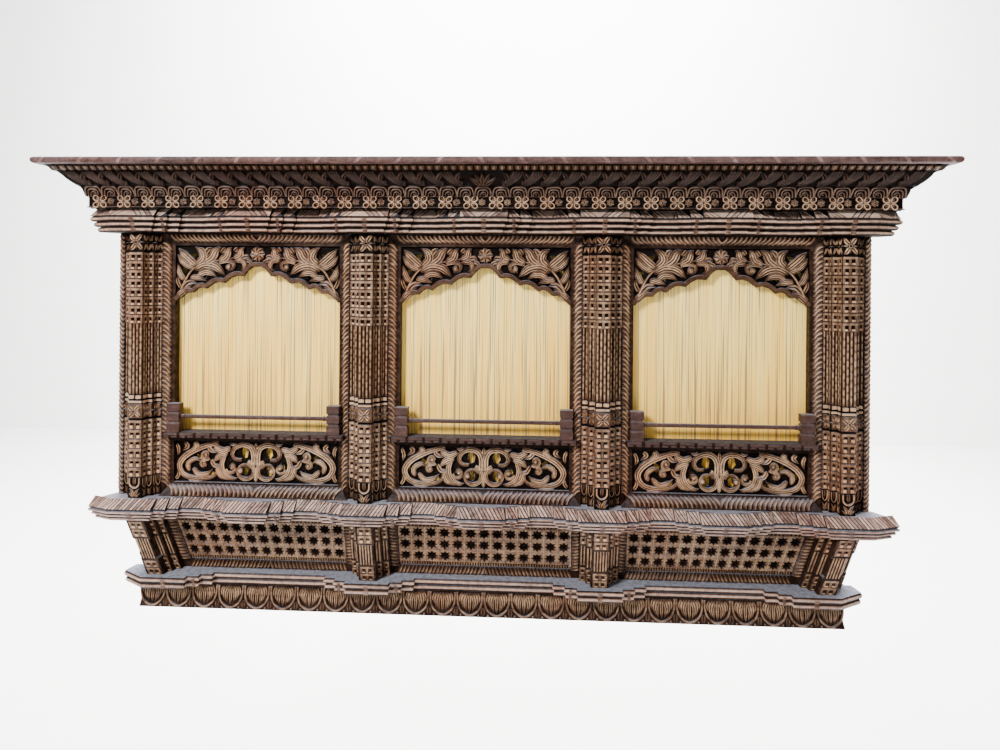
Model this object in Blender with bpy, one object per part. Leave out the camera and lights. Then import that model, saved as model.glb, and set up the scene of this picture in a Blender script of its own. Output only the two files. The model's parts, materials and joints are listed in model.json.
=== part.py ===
"""Three-bay carved timber window with a stepped cornice, keyed ledges and a leaning apron.

Metres, +Z up. The front faces -Y and the flat back is the plane Y = 0. Every piece is built with
its height counted from the underside of the base board, and hangs under one empty that brings the
middle of the sill's back to the origin.
"""

import math

import bmesh
import bpy
from mathutils import Matrix, Vector

# Overall layout
BAY_COUNT = 3
BAY_PITCH = 0.600          # pillar centre to pillar centre
WALL_DEPTH = 0.150         # pillar front to the flat back
FIT = 0.0004               # clearance between neighbouring pieces

# Heights of the courses, from the underside up
BASE_HEIGHT = 0.063
LOWER_REED_HEIGHT = 0.032
APRON_HEIGHT = 0.159
SILL_REED_HEIGHT = 0.029
SILL_SLOPE_HEIGHT = 0.026
PILLAR_HEIGHT = 0.686
LINTEL_REED_HEIGHT = 0.041
LINTEL_SLOPE_HEIGHT = 0.021
FLOWER_HEIGHT = 0.030
KEY_HEIGHT = 0.025
LEAF_HEIGHT = 0.032
TOOTH_HEIGHT = 0.012
RIM_HEIGHT = 0.017

# Pillar section, stepped back twice on both sides
PILLAR_FACE = 0.036
STEP_RUN = 0.016
STEP_DROPS = (0.025, 0.041)
SIDE_STRIP_RUN = 0.020     # rope strip on the outer side of an end pillar

# Pillar carving, from the foot up
LEAF_SQUARE = 0.054
LOWER_ROWS = 6
LOWER_PITCH = 0.0246
BOSS_HEIGHT = 0.052
BEAD_BAND = 0.015
UPPER_ROWS = 8
UPPER_PITCH = 0.0232
ROW_GROOVE = 0.0035
ROW_UNDERCUT = 0.0007
BOSS_PROUD = 0.004
REED_COUNT = 4
REED_SINK = 0.003
REED_FLAT = 0.5            # share of a reed's width that is flat
REED_VALLEY = 0.35         # depth between two reeds, as a share of a reed's width
FLOWER_SQUARE = 0.050
CARVING_KEY = 0.002        # how far a carved face is let into the body behind it

# Keyed ledges
KEYS = 3                   # steps from a recess out to a projection
BLOCK_HALF = 0.060         # half of a projection's width at its front
SILL_REACH = 0.027         # projection in front of the pillars
SILL_KEY_DEPTH = 0.030     # from a projection back to the recess
SILL_REED_COUNT = 3
LINTEL_REED_COUNT = 3
SLOPE_RUN = 0.022
REED_ROUND = 0.005
REED_RAKE = 0.006          # each lower reed stands this much further back
HORN_OUT = 0.064           # from the end block's corner out to the tip of the horn
HORN_BACK = 0.027
HORN_DEPTH = 0.050
HORN_TAPER = 0.024
LOWER_SETBACK = 0.028      # lower ledge's projections behind the pillar fronts
LOWER_KEY_DEPTH = 0.048
LOWER_REED_COUNT = 2
LOWER_REED_ROUND = 0.004
LOWER_REED_RAKE = 0.004
LOWER_HORN_BACK = 0.044
LOWER_HORN_OUT = 0.067
LOWER_HORN_SHARE = 0.6     # horn's depth as a share of what lies behind its tip
LOWER_HORN_TAPER = 0.007
LOWER_INSET = 0.062        # end blocks of the lower ledge, inwards of the end pillars

# Cornice, each course's reach beyond the flower band's face
KEY_REACH = (0.002, 0.017)
LEAF_REACH = (0.021, 0.054)
TOOTH_REACH = (0.056, 0.072)
RIM_REACH = 0.092
RIM_STEPS = 6
LINTEL_HORN_CUT = 0.009    # flower band's end, inwards of the lintel horn's tip
BIG_FLOWER_PITCH = 0.071
BIG_FLOWER_WIDTH = 0.044
COIL_PITCH = 0.044
LEAF_PITCH = 0.052
LEAF_TWIST = 0.010         # how far each leaf's ridge leans away from the middle
FLOWER_PROUD = 0.006
COIL_PROUD = 0.006
LEAF_PROUD = 0.007

# Bay frame, rope mouldings that splay down to a fillet
JAMB_SPLAY = 0.022
HEAD_SPLAY = 0.022
FOOT_SPLAY = 0.028
FILLET_WIDTH = 0.008
MITRE_GAP = 0.0003
FRAME_DROP = 0.050         # fillet behind the pillar front
FOOT_REACH = 0.124         # foot moulding's outer edge, in front of the flat back
SCREEN_DROP = 0.075        # reed screen behind the pillar front
SCREEN_THICKNESS = 0.008

# Arch board
SPANDREL_DROP = 0.148      # spring of the arch below the top of the opening
APEX_DROP = 0.054
CUSPS = ((0.18, 0.080), (0.41, 0.098), (0.63, 0.113), (0.79, 0.124))
FOIL_RISE = 0.009
FOIL_STEPS = 3
SPANDREL_THICKNESS = 0.018
ROSETTE_WIDTH = 0.044
ROSETTE_DROP = 0.024
ROSETTE_SIDES = 8
SPRAY_PROUD = 0.006
LEAVES = ((0.86, 0.105, 0.100, 2.2), (0.70, 0.052, 0.095, 1.9), (0.52, 0.075, 0.085, 2.6),
          (0.50, 0.034, 0.070, 0.9))     # share of the half width, drop, length and angle
LEAF_WIDTH = 0.036
LEAF_SIDES = 4
GAPS = ((0.93, 0.070, 0.025), (0.80, 0.028, 0.020), (0.60, 0.024, 0.018), (0.42, 0.020, 0.014),
        (0.64, 0.078, 0.016), (0.37, 0.060, 0.014))     # share, drop and size
GAP_CORNERS = ((-0.5, 0.3), (0.6, 0.5), (0.0, -0.6))

# Rail
LIP_RISE = 0.168           # top of the lip above the pillar foot
LIP_HEIGHT = 0.015
LIP_REACH = 0.018          # lip in front of the pillar side of the frame
LIP_OVERLAP = 0.011        # lip's ends over the rope mouldings
RAIL_TONGUE = 0.010
POST_WIDTH = 0.033
POST_HEIGHT = 0.074
POST_DEPTH = 0.027
POST_GROOVE = 0.004
POST_GROOVES = ((0.30, 0.36, 0.42), (0.64, 0.70, 0.76))     # edges and depth line of each groove
ROD_RADIUS = 0.0055
ROD_SIDES = 8
ROD_RISE = 0.040           # rod's axis above the lip

# Scroll panel and star panels
SCROLL_THICKNESS = 0.016
SCROLL_EYES = ((0.15, 0.70, 0.05, 0.15), (0.15, 0.28, 0.05, 0.14), (0.30, 0.36, 0.05, 0.13))
SCROLL_GAPS = ((0.44, 0.62, 0.05, 0.10), (0.58, 0.20, 0.07, 0.10), (0.72, 0.55, 0.05, 0.14),
               (0.70, 0.84, 0.06, 0.08), (0.90, 0.50, 0.04, 0.20))    # place and radii, as shares
EYE_SIDES = 6
GAP_SIDES = 4
HOLE_TURN = 0.3
STAR_COLUMNS = 13
STAR_ROWS = 3
STAR_DEPTH = 0.009
STAR_SPLAY = 0.022
STAR_SPLAY_DROP = 0.009
STAR_THICKNESS = 0.014
APRON_LEAN = 0.050         # foot of the apron behind its top
APRON_INSET = 0.032        # outer sides of the apron lean inwards by this much
STAR_TOP_DROP = 0.062      # star frame's top behind the pillar fronts

# Brackets
BRACKET_TOP_DROP = 0.005
BRACKET_FACE = 0.038
BRACKET_CAP = 0.054
BRACKET_BASE = 0.046
BRACKET_PROUD = 0.004

# Lotus base board
BASE_TOP_SETBACK = 0.083
BASE_FLARE = 0.012
BASE_END_INSET = 0.058     # end of the base board, inwards of the side strips
PETAL_PITCH = 0.071
PETAL_PROUD = 0.004
PETAL_RIM = 0.006
PETAL_TIP = 0.35           # width of a petal's foot, as a share of its own width

MERGE = 0.00001

# Derived places
BASE_TOP = BASE_HEIGHT
LOWER_TOP = BASE_TOP + LOWER_REED_HEIGHT
SILL_BOTTOM = LOWER_TOP + APRON_HEIGHT
SLOPE_BOTTOM = SILL_BOTTOM + SILL_REED_HEIGHT
SILL_TOP = SLOPE_BOTTOM + SILL_SLOPE_HEIGHT
LINTEL_BOTTOM = SILL_TOP + PILLAR_HEIGHT
LINTEL_SLOPE_BOTTOM = LINTEL_BOTTOM + LINTEL_REED_HEIGHT
FLOWER_BOTTOM = LINTEL_SLOPE_BOTTOM + LINTEL_SLOPE_HEIGHT
KEY_BOTTOM = FLOWER_BOTTOM + FLOWER_HEIGHT
LEAF_BOTTOM = KEY_BOTTOM + KEY_HEIGHT
TOOTH_BOTTOM = LEAF_BOTTOM + LEAF_HEIGHT
RIM_BOTTOM = TOOTH_BOTTOM + TOOTH_HEIGHT
MOUNT_HEIGHT = (SILL_BOTTOM + SILL_TOP) / 2

PILLAR_X = [(i - BAY_COUNT / 2) * BAY_PITCH for i in range(BAY_COUNT + 1)]
BAY_X = [(a + b) / 2 for a, b in zip(PILLAR_X, PILLAR_X[1:])]
END_X = PILLAR_X[-1]
PILLAR_HALF = PILLAR_FACE / 2 + 2 * STEP_RUN
STRIP_END = END_X + PILLAR_HALF + SIDE_STRIP_RUN
BAY_HALF = BAY_PITCH / 2 - PILLAR_HALF
OPEN_HALF = BAY_HALF - JAMB_SPLAY - FILLET_WIDTH
OPEN_TOP = LINTEL_BOTTOM - HEAD_SPLAY - FILLET_WIDTH
OPEN_BOTTOM = SILL_TOP + FOOT_SPLAY + FILLET_WIDTH / 2
FRAME_FRONT = WALL_DEPTH - FRAME_DROP
SPLAY_FRONT = WALL_DEPTH - STEP_DROPS[1]
SCREEN_FRONT = WALL_DEPTH - SCREEN_DROP
LIP_TOP = SILL_TOP + LIP_RISE
KEY_RUN = (BAY_PITCH / 2 - 2 * BLOCK_HALF) / (2 * KEYS)
LINTEL_END = END_X + BLOCK_HALF + HORN_OUT
FLOWER_END = LINTEL_END - LINTEL_HORN_CUT
FLOWER_FRONT = WALL_DEPTH + SILL_REACH

WOOD = {
    "carved_wood": ((0.150, 0.072, 0.042), 0.62),
    "dark_wood": ((0.085, 0.040, 0.026), 0.68),
    "dusty_wood": ((0.235, 0.185, 0.170), 0.85),
    "reed_board": ((0.760, 0.600, 0.330), 0.60),
}

model = None
cutters = None
root = None


def clear_scene():
    for thing in list(bpy.data.objects):
        bpy.data.objects.remove(thing, do_unlink=True)


def start_model():
    """Make the two collections and the empty that carries every piece."""
    global model, cutters, root
    model = bpy.data.collections.new("carved_window")
    cutters = bpy.data.collections.new("carved_window_guides")
    for group in (model, cutters):
        bpy.context.scene.collection.children.link(group)
    root = bpy.data.objects.new("window_origin", None)
    root.location = (0.0, 0.0, -MOUNT_HEIGHT)
    model.objects.link(root)


def wood(kind, node):
    """A Principled material for one piece, in one of the named finishes."""
    colour, roughness = WOOD[kind]
    material = bpy.data.materials.new(f"{kind}_{node}")
    material.use_nodes = True
    shader = material.node_tree.nodes["Principled BSDF"]
    shader.inputs["Base Color"].default_value = (*colour, 1.0)
    shader.inputs["Roughness"].default_value = roughness
    shader.inputs["Metallic"].default_value = 0.0
    material.diffuse_color = (*colour, 1.0)
    return material


def add_piece(name, mesh, kind="carved_wood"):
    """Put a finished mesh into the model as a named piece under the root."""
    mesh.name = name
    mesh.materials.clear()
    mesh.materials.append(wood(kind, name))
    piece = bpy.data.objects.new(name, mesh)
    model.objects.link(piece)
    piece.parent = root
    return piece


def mesh_of(form):
    """Turn a closed bmesh into mesh data with its faces pointing outwards."""
    bmesh.ops.recalc_face_normals(form, faces=form.faces[:])
    if form.calc_volume(signed=True) < 0:
        bmesh.ops.reverse_faces(form, faces=form.faces[:])
    mesh = bpy.data.meshes.new("shape")
    form.to_mesh(mesh)
    form.free()
    return mesh


def prism(outline, low, high, place):
    """A straight body: an outline of pairs carried from low to high by the place function."""
    return stacked([[place(u, v, low) for u, v in outline], [place(u, v, high) for u, v in outline]])


def stacked(sections):
    """A closed body whose skin runs through equal rings of points."""
    form = bmesh.new()
    rings = [[form.verts.new(point) for point in section] for section in sections]
    form.faces.new(rings[0])
    form.faces.new(rings[-1])
    for ring, following in zip(rings, rings[1:]):
        count = len(ring)
        for i in range(count):
            j = (i + 1) % count
            form.faces.new((ring[i], ring[j], following[j], following[i]))
    return form


def box(low, high):
    """A box between two corners."""
    form = bmesh.new()
    bmesh.ops.create_cube(form, size=1.0)
    low, high = Vector(low), Vector(high)
    bmesh.ops.scale(form, vec=high - low, verts=form.verts)
    bmesh.ops.translate(form, vec=(low + high) / 2, verts=form.verts)
    return form


def upright(x, y, z):
    return Vector((x, y, z))


def sideways(y, z, x):
    return Vector((x, y, z))


def frontal(x, z, y):
    return Vector((x, y, z))


def combine(base, extra, operation):
    """Join extra to base, or cut it away, and return the finished mesh."""
    holder = bpy.data.objects.new("base_shape", base)
    tool = bpy.data.objects.new("extra_shape", extra)
    cutters.objects.link(holder)
    cutters.objects.link(tool)
    tool.hide_render = True
    tool.display_type = "WIRE"
    step = holder.modifiers.new("combine", "BOOLEAN")
    step.operation = operation
    step.solver = "EXACT"
    step.object = tool
    graph = bpy.context.evaluated_depsgraph_get()
    mesh = bpy.data.meshes.new_from_object(holder.evaluated_get(graph))
    bpy.data.objects.remove(holder, do_unlink=True)
    bpy.data.objects.remove(tool, do_unlink=True)
    return mesh


def flat_board(outline, holes, front, back):
    """A pierced board from a filled 2D curve, its outline in X and Z and its faces at two depths."""
    curve = bpy.data.curves.new("outline", "CURVE")
    curve.dimensions = "2D"
    curve.fill_mode = "BOTH"
    curve.extrude = (front - back) / 2
    for loop in [outline, *holes]:
        spline = curve.splines.new("POLY")
        spline.points.add(len(loop) - 1)
        for point, (x, z) in zip(spline.points, loop):
            point.co = (x, z, 0.0, 1.0)
        spline.use_cyclic_u = True
    holder = bpy.data.objects.new("outline", curve)
    cutters.objects.link(holder)
    holder.rotation_euler = (math.pi / 2, 0.0, 0.0)
    holder.location = (0.0, -(front + back) / 2, 0.0)
    graph = bpy.context.evaluated_depsgraph_get()
    graph.update()
    seen = holder.evaluated_get(graph)
    mesh = bpy.data.meshes.new_from_object(seen)
    mesh.transform(seen.matrix_world)
    bpy.data.objects.remove(holder, do_unlink=True)
    form = bmesh.new()
    form.from_mesh(mesh)
    bmesh.ops.remove_doubles(form, verts=form.verts, dist=MERGE)
    return mesh_of(form)


def offset_outline(outline, inset, fixed):
    """Move each edge of a closed outline inwards, but those whose number is fixed stay."""
    count = len(outline)
    area = sum(outline[i][0] * outline[(i + 1) % count][1] - outline[(i + 1) % count][0] * outline[i][1]
               for i in range(count))
    turn = 1.0 if area > 0 else -1.0
    lines = []
    for i in range(count):
        start = Vector(outline[i])
        along = (Vector(outline[(i + 1) % count]) - start).normalized()
        inward = Vector((-along.y, along.x)) * turn
        lines.append((start + inward * (0.0 if i in fixed else inset), along))
    moved = []
    for i in range(count):
        (a, u), (b, v) = lines[i - 1], lines[i]
        cross = u.x * v.y - u.y * v.x
        share = ((b - a).x * v.y - (b - a).y * v.x) / cross
        moved.append(tuple(a + u * share))
    return moved


def keyed_front(centres, front, key_depth):
    """Front line of a ledge from left to right, keyed out to each block but not past the end ones."""
    rise = key_depth / KEYS
    points = []
    for centre in centres:
        for step in reversed(range(KEYS)):
            x = centre - BLOCK_HALF - step * KEY_RUN
            points.append((x, -(front - (step + 1) * rise)))
            points.append((x, -(front - step * rise)))
        for step in range(KEYS):
            x = centre + BLOCK_HALF + step * KEY_RUN
            points.append((x, -(front - step * rise)))
            points.append((x, -(front - (step + 1) * rise)))
    beyond = 2 * KEYS - 1
    return points[beyond:-beyond]


def ledge_outline(centres, front, key_depth, horn_out, horn_back, root_half, horn_depth, horn_taper):
    """Closed plan of a keyed ledge with a pointed horn at each end, and its fixed back edges."""
    line = keyed_front(centres, front, key_depth)
    tip_x = line[-1][0] + horn_out
    tip_y = -(front - horn_back)
    heel_y = tip_y + horn_depth
    right = [(tip_x, tip_y), (tip_x - horn_taper, heel_y), (root_half, heel_y), (root_half, 0.0)]
    left = [(-x, y) for x, y in reversed(right)]
    outline = left + line + right
    count = len(outline)
    return outline, {0, 1, count - 3, count - 2, count - 1}


def reed_levels(bottom, height, reeds, rake, round_depth):
    """Heights and insets of a stack of round reeds, the lowest furthest back."""
    pitch = height / reeds
    levels = []
    for i in range(reeds):
        set_back = (reeds - 1 - i) * rake
        levels.append((bottom + i * pitch, set_back + round_depth))
        levels.append((bottom + (i + 0.5) * pitch, set_back))
    return levels


def keyed_ledge(plan, fixed, levels):
    """A ledge whose plan is drawn at each level, moved in by that level's inset."""
    sections = []
    for z, inset in levels:
        sections.append([upright(x, y, z) for x, y in offset_outline(plan, inset, fixed)])
    return mesh_of(stacked(sections))


def mid_centres():
    """Centres of the ledge blocks at the pillars and in the middle of the bays."""
    return sorted(PILLAR_X + BAY_X)


def upper_plan():
    return ledge_outline(mid_centres(), FLOWER_FRONT, SILL_KEY_DEPTH, HORN_OUT, HORN_BACK,
                         STRIP_END, HORN_DEPTH, HORN_TAPER)


def make_sill_ledge():
    """Upper ledge: reeds below, a slope above, and the flat that the pillars stand on."""
    plan, fixed = upper_plan()
    levels = reed_levels(SILL_BOTTOM, SILL_REED_HEIGHT, SILL_REED_COUNT, REED_RAKE, REED_ROUND)
    levels.append((SILL_TOP - FIT, SLOPE_RUN))
    add_piece("sill_ledge", keyed_ledge(plan, fixed, levels), "dusty_wood")


def make_lintel_ledge():
    """Reeds and the fluted slope above the pillars, on the same keyed plan as the sill."""
    plan, fixed = upper_plan()
    levels = reed_levels(LINTEL_BOTTOM, LINTEL_REED_HEIGHT, LINTEL_REED_COUNT, REED_RAKE, REED_ROUND)
    levels.append((FLOWER_BOTTOM - FIT, SLOPE_RUN))
    add_piece("lintel_ledge", keyed_ledge(plan, fixed, levels))


def make_lower_ledge():
    """Lower ledge: its end blocks follow the leaning apron inwards."""
    centres = [PILLAR_X[0] + LOWER_INSET, *PILLAR_X[1:-1], END_X - LOWER_INSET]
    front = WALL_DEPTH - LOWER_SETBACK
    heel = front - LOWER_HORN_BACK
    plan, fixed = ledge_outline(centres, front, LOWER_KEY_DEPTH, LOWER_HORN_OUT, LOWER_HORN_BACK,
                                STRIP_END - APRON_INSET, heel * LOWER_HORN_SHARE, LOWER_HORN_TAPER)
    levels = reed_levels(BASE_TOP, LOWER_REED_HEIGHT, LOWER_REED_COUNT, LOWER_REED_RAKE, LOWER_REED_ROUND)
    levels.append((LOWER_TOP - FIT, 0.0))
    add_piece("lower_ledge", keyed_ledge(plan, fixed, levels), "dusty_wood")


def cell_edges(half, pitch, widths=(1.0,)):
    """Symmetric cell borders along a front of the given half length."""
    count = max(1, round(2 * half / pitch))
    true_pitch = 2 * half / count
    total = sum(widths)
    borders = [-half]
    for _ in range(count):
        for width in widths:
            borders.append(borders[-1] + true_pitch * width / total)
    borders[-1] = half
    return borders


def front_faces(form):
    """Faces with no corner on the flat back."""
    return [face for face in form.faces if all(vert.co.y < 0 for vert in face.verts)]


def carved_course(bottom, top, reach_low, reach_high, borders, proud, lean=0.0):
    """A cornice course whose front is cut into cells, each raised to a point."""
    sections = []
    for z, reach in ((bottom, reach_low), (top, reach_high)):
        half = FLOWER_END + reach
        y = -(FLOWER_FRONT + reach)
        stretch = half / borders[-1]
        row = [upright(x * stretch, y, z) for x in borders]
        sections.append([upright(-half, 0.0, z), *row, upright(half, 0.0, z)])
    form = stacked(sections)
    peaks = bmesh.ops.poke(form, faces=front_faces(form))["verts"]
    slope = math.atan2(reach_high - reach_low, top - bottom)
    for peak in peaks:
        side = 1.0 if peak.co.x > 0 else -1.0
        peak.co += Vector((side * lean, -proud * math.cos(slope), -proud * math.sin(slope)))
    return mesh_of(form)


def make_flower_band():
    widths = (BIG_FLOWER_WIDTH, BIG_FLOWER_PITCH - BIG_FLOWER_WIDTH)
    borders = cell_edges(FLOWER_END, BIG_FLOWER_PITCH, widths)
    mesh = carved_course(FLOWER_BOTTOM, KEY_BOTTOM - FIT, 0.0, 0.0, borders, FLOWER_PROUD)
    add_piece("flower_band", mesh)


def make_key_cove():
    borders = cell_edges(FLOWER_END + KEY_REACH[0], COIL_PITCH)
    mesh = carved_course(KEY_BOTTOM, LEAF_BOTTOM - FIT, *KEY_REACH, borders, COIL_PROUD)
    add_piece("key_cove", mesh)


def make_leaf_cove():
    borders = cell_edges(FLOWER_END + LEAF_REACH[0], LEAF_PITCH)
    mesh = carved_course(LEAF_BOTTOM, TOOTH_BOTTOM - FIT, *LEAF_REACH, borders, LEAF_PROUD,
                         lean=LEAF_TWIST)
    add_piece("leaf_cove", mesh, "dark_wood")


def course_ring(reach, z):
    """Rectangle of a cornice course at one height, from the flat back out to its reach."""
    half = FLOWER_END + reach
    y = -(FLOWER_FRONT + reach)
    return [upright(-half, 0.0, z), upright(-half, y, z), upright(half, y, z), upright(half, 0.0, z)]


def make_tooth_course():
    low, high = TOOTH_REACH
    mesh = mesh_of(stacked([course_ring(low, TOOTH_BOTTOM), course_ring(high, RIM_BOTTOM - FIT)]))
    add_piece("tooth_course", mesh, "dark_wood")


def make_crown_rim():
    """Top board with a round nose, drawn as a half circle in few steps."""
    radius = RIM_HEIGHT / 2
    rings = []
    for i in range(RIM_STEPS + 1):
        angle = -math.pi / 2 + math.pi * i / RIM_STEPS
        reach = RIM_REACH - radius + radius * math.cos(angle)
        rings.append(course_ring(reach, RIM_BOTTOM + radius + radius * math.sin(angle)))
    add_piece("crown_rim", mesh_of(stacked(rings)))


def pillar_section():
    """Plan of a pillar's body behind its carved face: the two steps and the flat back."""
    inner = PILLAR_FACE / 2 + STEP_RUN
    first = -(WALL_DEPTH - STEP_DROPS[0])
    second = -SPLAY_FRONT
    half = [(PILLAR_HALF, 0.0), (PILLAR_HALF, second), (inner, second), (inner, first)]
    return half + [(-x, y) for x, y in reversed(half)]


def row_profile(bottom, rows, pitch, root_depth):
    """Side outline of a stretch of bead rows, with a V groove under each row."""
    points = [(-root_depth, bottom)]
    for i in range(rows):
        z = bottom + i * pitch
        points.append((-(WALL_DEPTH - ROW_GROOVE), z))
        points.append((-WALL_DEPTH, z + ROW_GROOVE))
        points.append((-WALL_DEPTH, z + pitch - ROW_UNDERCUT))
    points.append((-root_depth, bottom + rows * pitch))
    return points


def reeded_section(half, root_depth):
    """Plan of the reeded stretch: reeds side by side, each with a flat between two slopes."""
    width = 2 * half / REED_COUNT
    slope = width * (1 - REED_FLAT) / 2
    face = WALL_DEPTH - REED_SINK
    valley = face - width * REED_VALLEY
    points = [(-half, -root_depth)]
    for i in range(REED_COUNT):
        x = -half + i * width
        points.append((x, -valley))
        points.append((x + slope, -face))
        points.append((x + width - slope, -face))
    points.append((half, -valley))
    points.append((half, -root_depth))
    return points


def pillar_levels():
    """Heights at which a pillar's carving changes, from its foot up."""
    rows_low = SILL_TOP + LEAF_SQUARE
    boss = rows_low + LOWER_ROWS * LOWER_PITCH
    band = boss + BOSS_HEIGHT
    reeds = band + BEAD_BAND
    square = LINTEL_BOTTOM - FLOWER_SQUARE
    rows_high = square - UPPER_ROWS * UPPER_PITCH
    return rows_low, boss, band, reeds, rows_high, square


def raised_square(bottom, top, half, root_depth, front):
    """A block standing proud of the pillar's face, with a low point in its middle."""
    form = box((-half, -front, bottom), (half, -root_depth, top))
    nearest = min(form.faces, key=lambda face: face.calc_center_median().y)
    for peak in bmesh.ops.poke(form, faces=[nearest])["verts"]:
        peak.co.y -= BOSS_PROUD
    return form


def pillar_mesh():
    """One pillar at X = 0, its body and every carved stretch made into one solid."""
    rows_low, boss, band, reeds, rows_high, square = pillar_levels()
    half = PILLAR_FACE / 2
    root_depth = WALL_DEPTH - STEP_DROPS[0] - CARVING_KEY
    bottom = SILL_TOP
    top = LINTEL_BOTTOM - FIT
    body = mesh_of(prism(pillar_section(), bottom, top, upright))
    lower_rows = row_profile(rows_low, LOWER_ROWS, LOWER_PITCH, root_depth)
    upper_rows = row_profile(rows_high, UPPER_ROWS, UPPER_PITCH, root_depth)
    lower = mesh_of(prism(lower_rows, -half, half, sideways))
    upper = mesh_of(prism(upper_rows, -half, half, sideways))
    reeded = mesh_of(prism(reeded_section(half, root_depth), reeds - FIT, rows_high + FIT, upright))
    overlap = ROW_UNDERCUT
    squares = [
        raised_square(bottom, rows_low + overlap, half, root_depth, WALL_DEPTH),
        raised_square(boss - overlap, band, half + BOSS_PROUD, root_depth, WALL_DEPTH + BOSS_PROUD / 2),
        box((-half, -WALL_DEPTH, band - overlap), (half, -root_depth, reeds)),
        raised_square(square - overlap, top, half, root_depth, WALL_DEPTH),
    ]
    for extra in [lower, upper, reeded, *[mesh_of(form) for form in squares]]:
        body = combine(body, extra, "UNION")
    return body


def make_pillars():
    shape = pillar_mesh()
    for number, x in enumerate(PILLAR_X, 1):
        piece = add_piece(f"pillar_{number}", shape.copy())
        piece.location.x = x


def make_side_strips():
    """Rope strips that finish the outer sides of the end pillars."""
    inner = END_X + PILLAR_HALF + FIT
    for name, side in (("side_strip_left", -1), ("side_strip_right", 1)):
        plan = [(side * inner, 0.0), (side * inner, -SPLAY_FRONT), (side * STRIP_END, -FRAME_FRONT),
                (side * STRIP_END, 0.0)]
        mesh = mesh_of(prism(plan, SILL_TOP, LINTEL_BOTTOM - FIT, upright))
        add_piece(name, mesh)


def frame_rings():
    """Outer, splay and inner rectangles of a bay frame, as half width, bottom and top."""
    outer = (BAY_HALF - FIT, SILL_TOP, LINTEL_BOTTOM - FIT)
    splay = (OPEN_HALF + FILLET_WIDTH, SILL_TOP + FOOT_SPLAY, LINTEL_BOTTOM - HEAD_SPLAY)
    inner = (OPEN_HALF, OPEN_BOTTOM, OPEN_TOP)
    return outer, splay, inner


def frame_section(corner, outer_front, nudge):
    """Mitred end of one frame moulding at a corner, moved a little along the moulding."""
    side, upper = corner
    rings = frame_rings()
    back = SCREEN_FRONT + FIT
    depths = (back, outer_front, FRAME_FRONT, FRAME_FRONT, back)
    order = (0, 0, 1, 2, 2)
    points = []
    for ring_number, depth in zip(order, depths):
        half, low, high = rings[ring_number]
        x = side * half + nudge[0]
        z = (high if upper else low) + nudge[1]
        points.append(Vector((x, -depth, z)))
    return points


def make_bay_frame(number, x):
    """Head, foot and two jambs of one bay, mitred at the corners."""
    gap = MITRE_GAP
    mouldings = {
        "frame_head": (((-1, True), (gap, 0)), ((1, True), (-gap, 0)), SPLAY_FRONT),
        "frame_foot": (((-1, False), (gap, 0)), ((1, False), (-gap, 0)), FOOT_REACH),
        "frame_jamb_left": (((-1, False), (0, gap)), ((-1, True), (0, -gap)), SPLAY_FRONT),
        "frame_jamb_right": (((1, False), (0, gap)), ((1, True), (0, -gap)), SPLAY_FRONT),
    }
    for name, (start, end, outer_front) in mouldings.items():
        sections = [frame_section(start[0], outer_front, start[1]),
                    frame_section(end[0], outer_front, end[1])]
        piece = add_piece(f"{name}_{number}", mesh_of(stacked(sections)))
        piece.location.x = x


def make_reed_screen(number, x):
    half = BAY_HALF - FIT
    back = SCREEN_FRONT - SCREEN_THICKNESS
    form = box((-half, -SCREEN_FRONT, SILL_TOP), (half, -back, LINTEL_BOTTOM - FIT))
    piece = add_piece(f"reed_screen_{number}", mesh_of(form), "reed_board")
    piece.location.x = x


def foil(start, end, rise):
    """Points of one scallop from start towards end, bulging away from the opening."""
    (x0, z0), (x1, z1) = start, end
    points = []
    for i in range(FOIL_STEPS):
        share = i / FOIL_STEPS
        bulge = rise * 4 * share * (1 - share)
        points.append((x0 + (x1 - x0) * share, z0 + (z1 - z0) * share + bulge))
    return points


def arch_line(half, top):
    """Lower edge of the arch board from the left spring to the right one."""
    marks = [(-half, top - SPANDREL_DROP)]
    marks += [(-half * share, top - drop) for share, drop in reversed(CUSPS)]
    marks.append((0.0, top - APEX_DROP))
    line = []
    for start, end in zip(marks, marks[1:]):
        line += foil(start, end, FOIL_RISE)
    return line + [(0.0, top - APEX_DROP)] + [(-x, z) for x, z in reversed(line)]


def spray_gaps(half, top):
    """Three-sided piercings between the leaves on the left of the arch board."""
    holes = []
    for share, drop, size in GAPS:
        x = -half * share
        z = top - drop
        holes.append([(x + size * along, z + size * rise) for along, rise in GAP_CORNERS])
    return holes


def raised_point(x, z, length, width, angle, sides):
    """A raised leaf or flower: a low cone let into the arch board, its tip in front."""
    face = FRAME_FRONT + SPRAY_PROUD / 2
    form = bmesh.new()
    bmesh.ops.create_cone(form, cap_ends=True, segments=sides, radius1=0.5, radius2=0.0,
                          depth=2 * SPRAY_PROUD)
    place = Matrix.Translation((x, -face, z)) @ Matrix.Rotation(math.pi / 2, 4, "X")
    place = place @ Matrix.Rotation(angle, 4, "Z") @ Matrix.Diagonal((length, width, 1.0, 1.0))
    bmesh.ops.transform(form, matrix=place, verts=form.verts)
    return mesh_of(form)


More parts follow.
